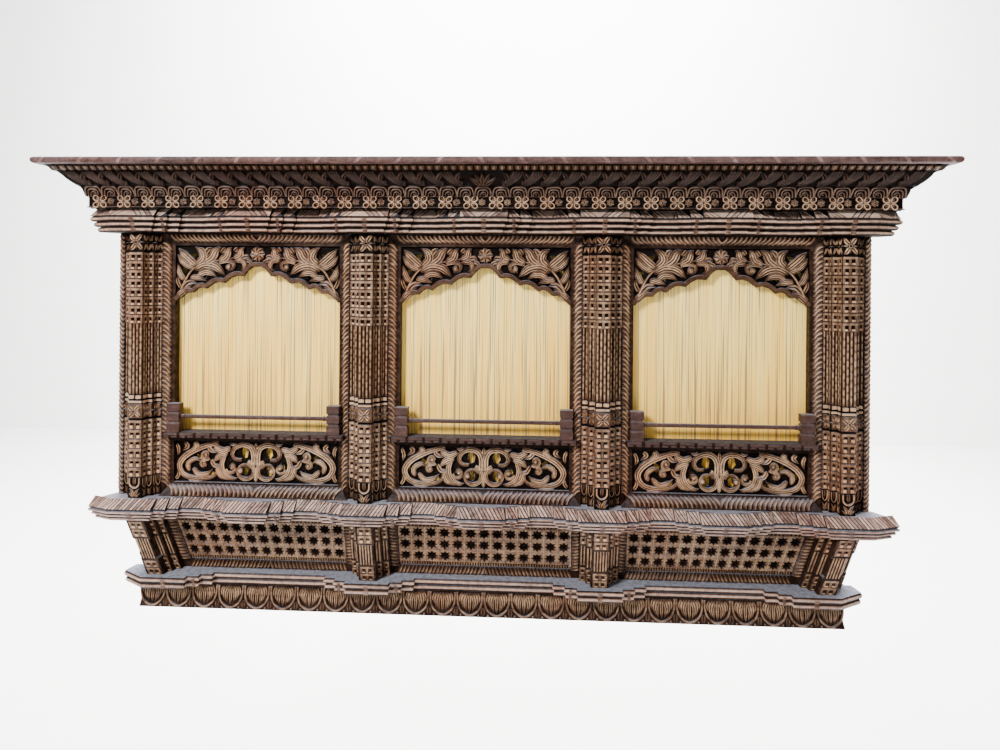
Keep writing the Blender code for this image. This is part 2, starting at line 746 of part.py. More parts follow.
def spandrel_mesh():
    """Cusped arch board with piercings, leaf ridges and a rosette."""
    half = OPEN_HALF - FIT
    top = OPEN_TOP - FIT
    outline = [(-half, top), *arch_line(half, top), (half, top)]
    gaps = spray_gaps(half, top)
    gaps += [[(-x, z) for x, z in reversed(gap)] for gap in gaps]
    front = FRAME_FRONT + SPRAY_PROUD / 2
    board = flat_board(outline, gaps, front, front - SPANDREL_THICKNESS)
    flower = raised_point(0.0, top - ROSETTE_DROP, ROSETTE_WIDTH, ROSETTE_WIDTH, 0.0, ROSETTE_SIDES)
    board = combine(board, flower, "UNION")
    for share, drop, length, angle in LEAVES:
        for side in (-1, 1):
            turn = angle if side > 0 else math.pi - angle
            leaf = raised_point(side * half * share, top - drop, length, LEAF_WIDTH, turn, LEAF_SIDES)
            board = combine(board, leaf, "UNION")
    return board


def make_spandrels():
    shape = spandrel_mesh()
    for number, x in enumerate(BAY_X, 1):
        piece = add_piece(f"spandrel_{number}", shape.copy())
        piece.location.x = x


def make_rail_lip(number, x):
    """Thin board that carries the posts, with a tongue back into the opening."""
    lip_half = OPEN_HALF + FILLET_WIDTH + LIP_OVERLAP
    tongue_half = OPEN_HALF - FIT
    back = SPLAY_FRONT + FIT
    plate = box((-lip_half, -(back + LIP_REACH), LIP_TOP - LIP_HEIGHT), (lip_half, -back, LIP_TOP - FIT))
    tongue = box((-tongue_half, -(back + CARVING_KEY), LIP_TOP - LIP_HEIGHT - RAIL_TONGUE),
                 (tongue_half, -(SCREEN_FRONT + FIT), LIP_TOP - FIT * 2))
    mesh = combine(mesh_of(plate), mesh_of(tongue), "UNION")
    piece = add_piece(f"rail_lip_{number}", mesh)
    piece.location.x = x


def post_profile():
    """Half outline of a post's block with its grooves, as pairs of inset and height."""
    profile = [(0.0, 0.0)]
    for below, deepest, above in POST_GROOVES:
        profile += [(0.0, POST_HEIGHT * below), (POST_GROOVE, POST_HEIGHT * deepest),
                    (0.0, POST_HEIGHT * above)]
    return profile + [(0.0, POST_HEIGHT)]


def make_rail_posts(number, x):
    front = FRAME_FRONT + FIT
    outer = OPEN_HALF + FILLET_WIDTH - FIT
    for name, side in (("rail_post_left", -1), ("rail_post_right", 1)):
        centre = side * (outer - POST_WIDTH / 2)
        sections = []
        for inset, rise in post_profile():
            low, high = centre - POST_WIDTH / 2 + inset, centre + POST_WIDTH / 2 - inset
            z = LIP_TOP + rise
            sections.append([upright(low, -front, z), upright(high, -front, z),
                             upright(high, -(front + POST_DEPTH - inset), z),
                             upright(low, -(front + POST_DEPTH - inset), z)])
        piece = add_piece(f"{name}_{number}", mesh_of(stacked(sections)))
        piece.location.x = x


def make_rail_rod(number, x):
    """Round rod between the two posts."""
    half = OPEN_HALF + FILLET_WIDTH - FIT - POST_WIDTH - FIT
    form = bmesh.new()
    bmesh.ops.create_cone(form, cap_ends=True, segments=ROD_SIDES, radius1=ROD_RADIUS,
                          radius2=ROD_RADIUS, depth=2 * half)
    piece = add_piece(f"rail_rod_{number}", mesh_of(form))
    piece.rotation_euler = (0.0, math.pi / 2, 0.0)
    piece.location = (x, -(FRAME_FRONT + POST_DEPTH / 2), LIP_TOP + ROD_RISE)


def many_sided(x, z, radius_x, radius_z, sides):
    """Points of a regular outline, stretched to two radii."""
    angles = [HOLE_TURN + math.tau * i / sides for i in range(sides)]
    return [(x + radius_x * math.cos(a), z + radius_z * math.sin(a)) for a in angles]


def scroll_holes(half, bottom, top):
    """Openings between the scrolls on the left half, as shares of the panel's own size."""
    height = top - bottom
    holes = []
    for marks, sides in ((SCROLL_EYES, EYE_SIDES), (SCROLL_GAPS, GAP_SIDES)):
        for across, up, size_x, size_z in marks:
            x = -half * across
            z = bottom + height * up
            holes.append(many_sided(x, z, half * size_x, height * size_z, sides))
    return holes


def scroll_panel_mesh():
    half = OPEN_HALF - FIT
    bottom = OPEN_BOTTOM + FIT
    top = LIP_TOP - LIP_HEIGHT - RAIL_TONGUE - FIT
    outline = [(-half, bottom), (half, bottom), (half, top), (-half, top)]
    holes = scroll_holes(half, bottom, top)
    holes += [[(-x, z) for x, z in reversed(hole)] for hole in holes]
    return flat_board(outline, holes, FRAME_FRONT, FRAME_FRONT - SCROLL_THICKNESS)


def make_scroll_panels():
    shape = scroll_panel_mesh()
    for number, x in enumerate(BAY_X, 1):
        piece = add_piece(f"scroll_panel_{number}", shape.copy())
        piece.location.x = x


def apron_share(z):
    """How far down the apron a height is, from 0 under the sill to 1 on the lower ledge."""
    return (SILL_BOTTOM - z) / APRON_HEIGHT


def bracket_ring(x, z, proud, outer_side):
    """Stepped plan of a bracket at one height, leaning back, and inwards at the ends."""
    share = apron_share(z)
    front = WALL_DEPTH - BRACKET_TOP_DROP - APRON_LEAN * share
    centre = x - outer_side * APRON_INSET * share
    half = BRACKET_FACE / 2
    drops = (0.0, STEP_DROPS[0], STEP_DROPS[1])
    ring = []
    for side in (1, -1):
        reach = [(half + proud, front - drops[0] + proud), (half + STEP_RUN, front - drops[1] + proud),
                 (PILLAR_HALF, front - drops[2] + proud)]
        points = [(centre + side * PILLAR_HALF, 0.0), (centre + side * reach[2][0], -reach[2][1]),
                  (centre + side * reach[1][0], -reach[2][1]), (centre + side * reach[1][0], -reach[1][1]),
                  (centre + side * reach[0][0], -reach[1][1]), (centre + side * reach[0][0], -reach[0][1])]
        ring += points if side > 0 else list(reversed(points))
    return [upright(px, py, z) for px, py in ring]


def make_brackets():
    """Brackets under the pillars: cap, fluted shaft and foot block."""
    low = LOWER_TOP
    high = SILL_BOTTOM - FIT
    levels = [(low, BRACKET_PROUD), (low + BRACKET_BASE, BRACKET_PROUD),
              (low + BRACKET_BASE + BRACKET_PROUD, 0.0), (high - BRACKET_CAP - BRACKET_PROUD, 0.0),
              (high - BRACKET_CAP, BRACKET_PROUD), (high, BRACKET_PROUD)]
    for number, x in enumerate(PILLAR_X, 1):
        outer_side = 0
        if number == 1:
            outer_side = -1
        if number == len(PILLAR_X):
            outer_side = 1
        sections = [bracket_ring(x, z, proud, outer_side) for z, proud in levels]
        add_piece(f"bracket_{number}", mesh_of(stacked(sections)))


def star_corner(number, side, upper, inset, drop):
    """A point of the leaning star frame: its corner moved in by inset and back by drop."""
    x = BAY_X[number - 1]
    z = SILL_BOTTOM - 2 * FIT - inset if upper else LOWER_TOP + inset
    share = apron_share(z)
    lean_in = 0.0
    if number == 1 and side < 0:
        lean_in = APRON_INSET * share
    if number == BAY_COUNT and side > 0:
        lean_in = -APRON_INSET * share
    y = -(WALL_DEPTH - STAR_TOP_DROP - APRON_LEAN * share - drop)
    return Vector((x + side * (BAY_HALF - FIT - inset) + lean_in, y, z))


def make_star_frame(number):
    """Mitred frame round a star panel, one leaning ring with a splayed face."""
    corners = ((-1, False), (1, False), (1, True), (-1, True))
    depth = STAR_SPLAY_DROP + STAR_THICKNESS
    outer_back = [star_corner(number, s, u, 0.0, depth) for s, u in corners]
    outer_front = [star_corner(number, s, u, 0.0, 0.0) for s, u in corners]
    inner_front = [star_corner(number, s, u, STAR_SPLAY, STAR_SPLAY_DROP) for s, u in corners]
    inner_back = [star_corner(number, s, u, STAR_SPLAY, depth) for s, u in corners]
    form = bmesh.new()
    rings = [[form.verts.new(p) for p in ring] for ring in (outer_back, outer_front, inner_front, inner_back)]
    for ring, following in zip(rings, rings[1:] + rings[:1]):
        for i in range(4):
            j = (i + 1) % 4
            form.faces.new((ring[i], ring[j], following[j], following[i]))
    add_piece(f"star_frame_{number}", mesh_of(form))


def make_star_panel(number):
    """Leaning board whose face is cut into rows of pointed recesses."""
    edge = STAR_SPLAY + FIT
    front = STAR_SPLAY_DROP + FIT
    back = STAR_SPLAY_DROP + STAR_THICKNESS
    form = bmesh.new()
    corners = ((-1, False), (1, False), (1, True), (-1, True))
    face_points = [star_corner(number, s, u, edge, front) for s, u in corners]
    back_points = [form.verts.new(star_corner(number, s, u, edge, back)) for s, u in corners]
    low_left, low_right, high_right, high_left = face_points
    grid = []
    for row in range(STAR_ROWS + 1):
        rise = row / STAR_ROWS
        left = low_left.lerp(high_left, rise)
        right = low_right.lerp(high_right, rise)
        grid.append([form.verts.new(left.lerp(right, i / STAR_COLUMNS)) for i in range(STAR_COLUMNS + 1)])
    cells = []
    for row, above in zip(grid, grid[1:]):
        for i in range(STAR_COLUMNS):
            cells.append(form.faces.new((row[i], row[i + 1], above[i + 1], above[i])))
    form.faces.new(back_points)
    form.faces.new((*grid[0], back_points[1], back_points[0]))
    form.faces.new((*grid[-1], back_points[2], back_points[3]))
    form.faces.new((*[row[0] for row in grid], back_points[3], back_points[0]))
    form.faces.new((*[row[-1] for row in grid], back_points[2], back_points[1]))
    for pit in bmesh.ops.poke(form, faces=cells)["verts"]:
        pit.co.y += STAR_DEPTH
    add_piece(f"star_panel_{number}", mesh_of(form))


def make_lotus_base():
    """Base board: a flaring face cut into hanging petals, each a raised pointed shape."""
    end = STRIP_END - BASE_END_INSET
    top_depth = WALL_DEPTH - BASE_TOP_SETBACK
    borders = cell_edges(end + BASE_FLARE, PETAL_PITCH)
    sections = []
    for z, flare in ((0.0, BASE_FLARE), (BASE_HEIGHT - FIT, 0.0)):
        half = end + flare
        stretch = half / borders[-1]
        row = [upright(x * stretch, -(top_depth + flare), z) for x in borders]
        sections.append([upright(-half, 0.0, z), *row, upright(half, 0.0, z)])
    form = stacked(sections)
    bmesh.ops.recalc_face_normals(form, faces=form.faces[:])
    fronts = front_faces(form)
    bmesh.ops.inset_individual(form, faces=fronts, thickness=PETAL_RIM, depth=PETAL_PROUD)
    for face in fronts:
        middle = face.calc_center_median()
        for vert in face.verts:
            if vert.co.z < middle.z:
                vert.co.x = middle.x + (vert.co.x - middle.x) * PETAL_TIP
    add_piece("lotus_base", mesh_of(form))


def make_bays():
    for number, x in enumerate(BAY_X, 1):
        make_bay_frame(number, x)
        make_reed_screen(number, x)
        make_rail_lip(number, x)
        make_rail_posts(number, x)
        make_rail_rod(number, x)
        make_star_frame(number)
        make_star_panel(number)
    make_spandrels()
    make_scroll_panels()


def make_cornice():
    make_lintel_ledge()
    make_flower_band()
    make_key_cove()
    make_leaf_cove()
    make_tooth_course()
    make_crown_rim()


def make_window():
    clear_scene()
    start_model()
    make_lotus_base()
    make_lower_ledge()
    make_brackets()
    make_sill_ledge()
    make_pillars()
    make_side_strips()
    make_bays()
    make_cornice()


make_window()
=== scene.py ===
"""Dressing of a three-bay carved timber window.

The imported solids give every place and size. This script lays the carving over them: flowers, coils
and leaves on the cornice, bead rows on the pillars, sprays in the arches, scrolls under the rails,
stars on the apron and petals on the base board, all in aged wood with dust on its ledges.
"""

import json
import logging
import math
import random
from collections.abc import Callable, Sequence
from dataclasses import dataclass, field
from enum import Enum

import bmesh
import bpy
from bmesh.types import BMesh
from bpy.types import Light, Material, Mesh, Node, NodeSocket, Object
from mathutils import Matrix, Vector

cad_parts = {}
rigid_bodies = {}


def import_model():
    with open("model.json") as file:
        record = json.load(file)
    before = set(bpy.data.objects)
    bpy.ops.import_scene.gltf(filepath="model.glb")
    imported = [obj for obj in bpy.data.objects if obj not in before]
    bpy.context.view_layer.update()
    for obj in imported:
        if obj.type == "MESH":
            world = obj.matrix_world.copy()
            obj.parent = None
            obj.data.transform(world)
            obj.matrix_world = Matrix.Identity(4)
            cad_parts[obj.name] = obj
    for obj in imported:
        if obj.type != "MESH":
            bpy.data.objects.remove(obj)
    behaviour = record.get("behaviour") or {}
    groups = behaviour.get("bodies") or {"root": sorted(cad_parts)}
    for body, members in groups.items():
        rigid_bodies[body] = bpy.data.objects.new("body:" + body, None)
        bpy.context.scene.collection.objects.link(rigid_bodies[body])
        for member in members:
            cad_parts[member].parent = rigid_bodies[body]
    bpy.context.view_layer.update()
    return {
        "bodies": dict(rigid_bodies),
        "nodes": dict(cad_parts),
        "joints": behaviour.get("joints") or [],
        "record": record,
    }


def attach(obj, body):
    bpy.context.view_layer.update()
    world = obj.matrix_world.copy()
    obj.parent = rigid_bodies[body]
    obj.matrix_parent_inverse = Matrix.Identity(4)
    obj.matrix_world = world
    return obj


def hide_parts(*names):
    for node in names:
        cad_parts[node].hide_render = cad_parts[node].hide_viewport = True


Pair = tuple[float, float]
Colour = tuple[float, float, float]
Rows = Sequence[Sequence[Vector]]

LOG = logging.getLogger("carved_window")
# Per-point level of the wood's colour: low values paint shade into recesses, high values paint a highlight
# onto crests over their real wear.
WEAR_AND_SHADE = "wear_and_shade"
MERGE = 0.00002
MILLIMETRE = 0.001
SAWN_WEAR = 0.34
SHARP_ANGLE = math.radians(38.0)


class Profile(Enum):
    """Cross-sections of a carved ribbon, as pairs of place across it and height."""

    ROUND = ((-1.0, 0.0), (-0.85, 0.55), (-0.45, 0.9), (0.0, 1.0), (0.45, 0.9), (0.85, 0.55), (1.0, 0.0))
    RIDGE = ((-1.0, 0.0), (-0.7, 0.62), (0.0, 1.0), (0.7, 0.62), (1.0, 0.0))
    FLAT = ((-1.0, 0.0), (-0.96, 0.8), (-0.7, 1.0), (0.7, 1.0), (0.96, 0.8), (1.0, 0.0))
    SCALE = ((-1.0, 0.0), (-0.88, 0.34), (-0.3, 0.66), (0.3, 0.95), (0.62, 1.0), (0.88, 0.72), (1.0, 0.0))
    # LINED has a low skirt each side, whose low level paints a dark outline of shade round the ribbon's foot.
    LINED = ((-1.30, 0.0), (-1.26, 0.07), (-1.0, 0.09), (-0.90, 0.80), (-0.55, 1.0), (0.55, 1.0),
             (0.90, 0.80), (1.0, 0.09), (1.26, 0.07), (1.30, 0.0))
    VEINED = ((-1.0, 0.0), (-0.86, 0.75), (-0.48, 1.0), (-0.14, 0.62), (0.0, 0.22), (0.14, 0.62), (0.48, 1.0),
              (0.86, 0.75), (1.0, 0.0))
    FLUTED = ((-1.0, 0.0), (-0.92, 0.72), (-0.70, 0.92), (-0.52, 0.24), (-0.34, 0.92), (-0.10, 1.0),
              (0.06, 0.26), (0.24, 1.0), (0.44, 0.9), (0.60, 0.24), (0.76, 0.85), (0.94, 0.6), (1.0, 0.0))
    GROOVED = ((-1.0, 0.0), (-0.92, 0.85), (-0.62, 1.0), (-0.40, 0.30), (-0.20, 0.90), (0.10, 0.88),
               (0.30, 0.26), (0.50, 0.80), (0.86, 0.62), (1.0, 0.0))


class Taper(Enum):
    """How a carved ribbon's width changes along it."""

    BAR = "bar"
    LEAF = "leaf"
    STEM = "stem"
    SCROLL = "scroll"
    TONGUE = "tongue"

    def width(self, share: float) -> float:
        """Give the width at a share of the length, from 0 to 1.

        Args:
            share: Place along the ribbon, from 0 to 1.

        Returns:
            The width as a share of the greatest.
        """
        if self is Taper.LEAF:
            return max(0.04, min(1.0, 0.42 * (1 - share) ** 2 + math.sin(math.pi * share ** 0.85) ** 0.8))
        if self is Taper.STEM:
            return 1.0 - 0.55 * share
        if self is Taper.SCROLL:
            return 0.5 + 0.5 * math.sin(math.pi * min(1.0, 0.12 + share * 0.95))
        if self is Taper.TONGUE:
            return 1.0 if share < 0.55 else math.sqrt(max(0.02, 1 - ((share - 0.55) / 0.45) ** 2))
        return 1.0


@dataclass(frozen=True)
class Layout:
    """Driving sizes of the window in metres, with heights counted from the underside."""

    bay_count: int = 3
    bay_pitch: float = 0.600
    wall_depth: float = 0.150
    underside: float = -0.2815
    base_top: float = 0.063
    lower_top: float = 0.095
    sill_bottom: float = 0.254
    sill_slope: float = 0.283
    sill_top: float = 0.309
    lintel_bottom: float = 0.995
    lintel_slope: float = 1.036
    flower_bottom: float = 1.057
    key_bottom: float = 1.087
    leaf_bottom: float = 1.112
    tooth_bottom: float = 1.144
    rim_bottom: float = 1.156
    rim_top: float = 1.173
    pillar_face: float = 0.036
    step_run: float = 0.016
    step_drops: Pair = (0.025, 0.041)
    fit: float = 0.0004
    splay: float = 0.022
    fillet: float = 0.008
    foot_splay: float = 0.028
    foot_reach: float = 0.124
    lip_top: float = 0.477

    def level(self, height: float) -> float:
        """Turn a height above the underside into the window's own Z."""
        return self.underside + height

    @property
    def pillar_x(self) -> list[float]:
        """Give the pillars' middles."""
        return [(i - self.bay_count / 2) * self.bay_pitch for i in range(self.bay_count + 1)]

    @property
    def bay_x(self) -> list[float]:
        """Give the bays' middles."""
        return [(i - (self.bay_count - 1) / 2) * self.bay_pitch for i in range(self.bay_count)]

    @property
    def pillar_half(self) -> float:
        """Give half of a pillar's width over its steps."""
        return self.pillar_face / 2 + 2 * self.step_run

    @property
    def step_spans(self) -> list[tuple[float, float, float]]:
        """Give the left edge, right edge and drop of a pillar's front face and of its four steps."""
        edge = self.pillar_face / 2
        spans = [(-edge, edge, 0.0)]
        for number, drop in enumerate(self.step_drops):
            near = edge + number * self.step_run
            spans += [(-near - self.step_run, -near, drop), (near, near + self.step_run, drop)]
        return spans

    @property
    def bay_half(self) -> float:
        """Give half of the width between two pillars."""
        return self.bay_pitch / 2 - self.pillar_half

    @property
    def open_half(self) -> float:
        """Give half of the opening's width inside the frame."""
        return self.bay_half - self.splay - self.fillet

    @property
    def open_top(self) -> float:
        """Give the height of the opening's head."""
        return self.lintel_bottom - self.splay - self.fillet


@dataclass(frozen=True)
class Panel:
    """A flat place for carving: its lower left corner, the ways along and up it, and its size."""

    origin: Vector
    along: Vector
    up: Vector
    length: float
    height: float

    @classmethod
    def between(cls, start: Vector, end: Vector, rise: Vector) -> "Panel":
        """Lay a panel on the line from start to end, going up by the vector rise."""
        along = end - start
        return cls(start, along.normalized(), rise.normalized(), along.length, rise.length)

    @classmethod
    def level(cls, ends: Pair, front: float, z: float, rise: Vector) -> "Panel":
        """Lay a panel from left to right, its foot front metres off the wall at height z."""
        return cls.between(Vector((ends[0], -front, z)), Vector((ends[1], -front, z)), rise)

    def place(self, u: float, v: float, turn: float = 0.0, size: float = 1.0, flip: bool = False) -> Matrix:
        """Give the matrix that sets a motif on the panel.

        Args:
            u: Distance along the panel.
            v: Distance up the panel.
            turn: Angle in the panel's plane, in radians.
            size: Scale of the motif.
            flip: Whether the motif is mirrored left to right.

        Returns:
            The matrix from the motif's own axes to the window's.
        """
        out = self.along.cross(self.up).normalized()
        frame = Matrix((self.along, self.up, out)).transposed().to_4x4()
        frame.translation = self.origin + self.along * u + self.up * v
        across = -size if flip else size
        return frame @ Matrix.Rotation(turn, 4, "Z") @ Matrix.Diagonal((across, size, size, 1.0))

    def spots(self, pitch: float) -> list[float]:
        """Give the middles of equal cells along the panel, each about one pitch long."""
        count = max(1, round(self.length / pitch))
        return [(i + 0.5) * self.length / count for i in range(count)]


class Graph:
    """A material's node tree, built one node at a time."""

    def __init__(self, name: str) -> None:
        """Start a material with its Principled shader.

        Args:
            name: Name of the material.
        """
        self.material = bpy.data.materials.new(name)
        self.material.use_nodes = True
        self.tree = self.material.node_tree
        self.shader = self.tree.nodes["Principled BSDF"]

    def feed(self, socket: NodeSocket, value: object) -> None:
        """Link a socket into another, or set its plain value.

        Args:
            socket: The input.
            value: A socket or a plain value.
        """
        if isinstance(value, NodeSocket):
            self.tree.links.new(value, socket)
        else:
            socket.default_value = value

    def node(self, kind: str, inputs: dict[str | int, object], **settings: object) -> Node:
        """Add a node.

        Args:
            kind: Blender's name of the node type.
            inputs: Sockets or values for its inputs.
            settings: Properties of the node.

        Returns:
            The new node.
        """
        made = self.tree.nodes.new(kind)
        for key, value in settings.items():
            setattr(made, key, value)
        for key, value in inputs.items():
            self.feed(made.inputs[key], value)
        return made

    def noise(self, place: NodeSocket, scale: float, detail: float, rough: float = 0.55) -> NodeSocket:
        """Add a noise texture and give its value."""
        inputs = {"Vector": place, "Scale": scale, "Detail": detail, "Roughness": rough}
        return self.node("ShaderNodeTexNoise", inputs).outputs[0]

    def sum(self, first: object, second: object, factor: float = 1.0) -> NodeSocket:
        """Give first plus second times a factor."""
        inputs = {0: second, 1: factor, 2: first}
        return self.node("ShaderNodeMath", inputs, operation="MULTIPLY_ADD").outputs[0]

    def product(self, first: object, second: object) -> NodeSocket:
        """Give first times second."""
        return self.node("ShaderNodeMath", {0: first, 1: second}, operation="MULTIPLY").outputs[0]

    def span(self, value: object, low: float, high: float, start: float = 0.0,
             end: float = 1.0) -> NodeSocket:
        """Stretch a value from one range to another, held at the ends."""
        inputs = {"Value": value, "From Min": low, "From Max": high, "To Min": start, "To Max": end}
        return self.node("ShaderNodeMapRange", inputs).outputs[0]

    def blend(self, share: object, first: object, second: object, mode: str = "MIX") -> NodeSocket:
        """Mix two colours."""
        inputs = {0: share, 6: first, 7: second}
        return self.node("ShaderNodeMix", inputs, data_type="RGBA", blend_type=mode).outputs[2]

    def surface(self, colour: NodeSocket, rough: NodeSocket, height: NodeSocket, strength: float,
                depth: float) -> Material:
        """Feed the shader.

        Args:
            colour: The surface's colour.
            rough: Its roughness.
            height: Its fine relief.
            strength: How strongly the relief shows.
            depth: How deep the relief is, in metres.

        Returns:
            The finished material.
        """
        bump = self.node("ShaderNodeBump", {"Height": height, "Strength": strength, "Distance": depth})
        self.feed(self.shader.inputs["Base Color"], colour)
        self.feed(self.shader.inputs["Roughness"], rough)
        self.feed(self.shader.inputs["Normal"], bump.outputs[0])
        return self.material

    def ramp(self, value: NodeSocket, stops: Sequence[tuple[float, Colour]]) -> NodeSocket:
        """Turn a value into a colour along a row of stops.

        Args:
            value: The value.
            stops: Places and colours.

        Returns:
            The colour.
        """
        made = self.node("ShaderNodeValToRGB", {0: value})
        elements = made.color_ramp.elements
        while len(elements) < len(stops):
            elements.new(0.5)
        for element, (place, colour) in zip(elements, stops):
            element.position = place
            element.color = linear(colour)
        return made.outputs[0]


def linear(colour: Colour) -> tuple[float, float, float, float]:
    """Turn a colour as the eye sees it into the linear values that shaders take."""
    red, green, blue = [((c + 0.055) / 1.055) ** 2.4 if c > 0.04045 else c / 12.92 for c in colour]
    return red, green, blue, 1.0


class Grain(Enum):
    """Direction of the wood's grain, as the scale of its streaks along X, Y and Z."""

    ACROSS = (5.0, 70.0, 70.0)
    UPRIGHT = (70.0, 70.0, 5.0)


@dataclass(frozen=True)
class Wood:
    """Aged carved wood: painted shade in its recesses, wear with a painted highlight on its ridges, and dust
    on what faces up.
    """

    name: str
    grain: Grain = Grain.ACROSS
    recess: Colour = (0.034, 0.020, 0.015)
    shade: Colour = (0.118, 0.072, 0.052)
    body: Colour = (0.305, 0.203, 0.134)
    worn_highlight: Colour = (0.755, 0.622, 0.492)
    warm: Colour = (0.660, 0.400, 0.200)
    warmth: float = 0.38
    dust: Colour = (0.560, 0.570, 0.620)
    dust_share: float = 0.75
    wear_and_shade: float | None = None
    roughness: Pair = (0.42, 0.68)
    streak_share: float = 0.46
    mottle_scale: float = 85.0
    mottle_share: float = 0.50
    drift_scale: float = 3.4
    level_span: Pair = (0.51, 1.60)
    shade_stop: float = 0.26
    body_stop: float = 0.58
    shine: Pair = (0.04, 0.42)
    bump_strength: float = 0.38
    bump_depth: float = 0.0016

    def material(self) -> Material:
        """Build the finish once, and give it again when asked later."""
        made = bpy.data.materials.get(self.name)
        if made is not None:
            return made
        graph = Graph(self.name)
        place = graph.node("ShaderNodeTexCoord", {}).outputs["Object"]
        along = graph.node("ShaderNodeMapping", {"Vector": place, "Scale": self.grain.value}).outputs[0]
        streaks = graph.noise(along, 1.0, 6.0, 0.62)
        mottle = graph.noise(place, self.mottle_scale, 5.0, 0.65)
        drift = graph.noise(place, self.drift_scale, 3.0)
        level = self.wear_and_shade
        if level is None:
            level = graph.node("ShaderNodeAttribute", {}, attribute_name=WEAR_AND_SHADE).outputs["Fac"]
        level = graph.sum(graph.sum(level, streaks, self.streak_share), mottle, self.mottle_share)
        level = graph.span(level, *self.level_span)
        # The ramp runs from painted shade in the recesses, through the body colour, to wear with a painted
        # highlight on the crests.
        colour = graph.ramp(level, ((0.0, self.recess), (self.shade_stop, self.shade),
                                    (self.body_stop, self.body), (1.0, self.worn_highlight)))
        share = graph.product(graph.span(drift, 0.50, 0.66), self.warmth)
        colour = graph.blend(share, colour, linear(self.warm), "SOFT_LIGHT")
        face = graph.node("ShaderNodeNewGeometry", {}).outputs["Normal"]
        upward = graph.node("ShaderNodeSeparateXYZ", {0: face}).outputs["Z"]
        dusty = graph.product(graph.span(upward, 0.62, 0.97), graph.span(mottle, 0.30, 0.62, 0.45, 1.0))
        dusty = graph.product(dusty, self.dust_share)
        colour = graph.blend(dusty, colour, linear(self.dust))
        rough = graph.sum(graph.span(streaks, 0.3, 0.7, *self.roughness), dusty, 0.25)
        relief = graph.sum(streaks, mottle, 0.55)
        graph.feed(graph.shader.inputs["Specular IOR Level"], graph.span(level, 0.20, 0.85, *self.shine))
        return graph.surface(colour, rough, relief, self.bump_strength, self.bump_depth)


@dataclass(frozen=True)
class ReedFinish:
    """Upright reeds: cream to straw gold, with thin brown lines between some of them."""

    name: str = "straw_reeds"
    cream: Colour = (1.000, 0.895, 0.530)
    straw: Colour = (0.985, 0.800, 0.320)
    gold: Colour = (0.970, 0.830, 0.400)
    line: Colour = (0.500, 0.380, 0.240)
    reeds_per_metre: float = 260.0
    column_scale: tuple[float, float, float] = (1.0, 0.0, 0.006)
    coarse_scale: float = 120.0
    fine_scale: float = 340.0
    patch_scale: float = 2.6
    bump_strength: float = 0.30
    bump_depth: float = 0.0012

    def material(self) -> Material:
        """Build the finish."""
        graph = Graph(self.name)
        place = graph.node("ShaderNodeTexCoord", {}).outputs["Object"]
        column = graph.node("ShaderNodeMapping", {"Vector": place, "Scale": self.column_scale}).outputs[0]
        coarse = graph.noise(column, self.coarse_scale, 2.0, 0.5)
        fine = graph.noise(column, self.fine_scale, 2.0, 0.5)
        colour = graph.ramp(coarse, ((0.30, self.straw), (0.58, self.cream)))
        patches = graph.noise(place, self.patch_scale, 2.0)
        split = graph.node("ShaderNodeSeparateXYZ", {0: place})
        # Gold deepens towards the foot of the screen as painted shade; the noise patches add it at random as
        # tone.
        low = graph.span(split.outputs["Z"], 0.55, 0.15, 0.10, 0.65)
        share = graph.sum(low, graph.span(patches, 0.45, 0.7, 0.0, 0.35))
        colour = graph.blend(share, colour, linear(self.gold), "MULTIPLY")
        dark = graph.product(graph.span(graph.sum(fine, coarse, 0.35), 0.71, 0.78), 0.85)
        colour = graph.blend(dark, colour, linear(self.line))
        phase = graph.product(split.outputs["X"], self.reeds_per_metre * math.tau)
        wave = graph.node("ShaderNodeMath", {0: phase}, operation="SINE").outputs[0]
        relief = graph.sum(graph.sum(fine, wave, 0.35), dark, -1.2)
        rough = graph.span(fine, 0.3, 0.7, 0.42, 0.6)
        return graph.surface(colour, rough, relief, self.bump_strength, self.bump_depth)


def skin(rows: Rows) -> BMesh:
    """Lay a closed skin over rows of points, each row going once round the shape.

    Args:
        rows: Equal rows of points, from one end of the shape to the other.

    Returns:
        The closed shape, with its ends capped or run together.
    """
    form = bmesh.new()
    around = len(rows[0])
    bmesh.ops.create_grid(form, x_segments=around, y_segments=len(rows) - 1, size=1.0)
    form.verts.ensure_lookup_table()
    for number, vert in enumerate(form.verts):
        row, column = divmod(number, around + 1)
        vert.co = rows[row][column % around]
    bmesh.ops.remove_doubles(form, verts=form.verts[:], dist=MERGE)
    open_edges = [edge for edge in form.edges if edge.is_boundary]
    if open_edges:
        bmesh.ops.holes_fill(form, edges=open_edges, sides=0)
    bmesh.ops.recalc_face_normals(form, faces=form.faces[:])
    return form


def smooth_path(points: Sequence[Pair], steps: int) -> list[Vector]:
    """Run a smooth line through a few points.

    Args:
        points: The points it passes.
        steps: How many stretches it is cut into.

    Returns:
        The points along the line.
    """
    ends = [Vector(point) for point in points]
    ends = [2 * ends[0] - ends[1], *ends, 2 * ends[-1] - ends[-2]]
    spans = len(points) - 1
    path = []
    for step in range(steps + 1):
        span = min(int(step * spans / steps), spans - 1)
        t = step * spans / steps - span
        a, b, c, d = ends[span:span + 4]
        path.append(0.5 * (2 * b + (c - a) * t + (2 * a - 5 * b + 4 * c - d) * t * t
                           + (3 * b - 3 * c + d - a) * t ** 3))
    return path


def arc_path(centre: Pair, radii: Pair, angles: Pair, steps: int) -> list[Vector]:
    """Run a line round a centre, its radius and angle going evenly from first to last.

    Args:
        centre: The centre.
        radii: First and last radius.
        angles: First and last angle, in radians.
        steps: How many stretches it is cut into.

    Returns:
        The points along the line.
    """
    path = []
    for step in range(steps + 1):
        share = step / steps
        radius = radii[0] + (radii[1] - radii[0]) * share
        angle = angles[0] + (angles[1] - angles[0]) * share
        path.append(Vector((centre[0] + radius * math.cos(angle), centre[1] + radius * math.sin(angle))))
    return path


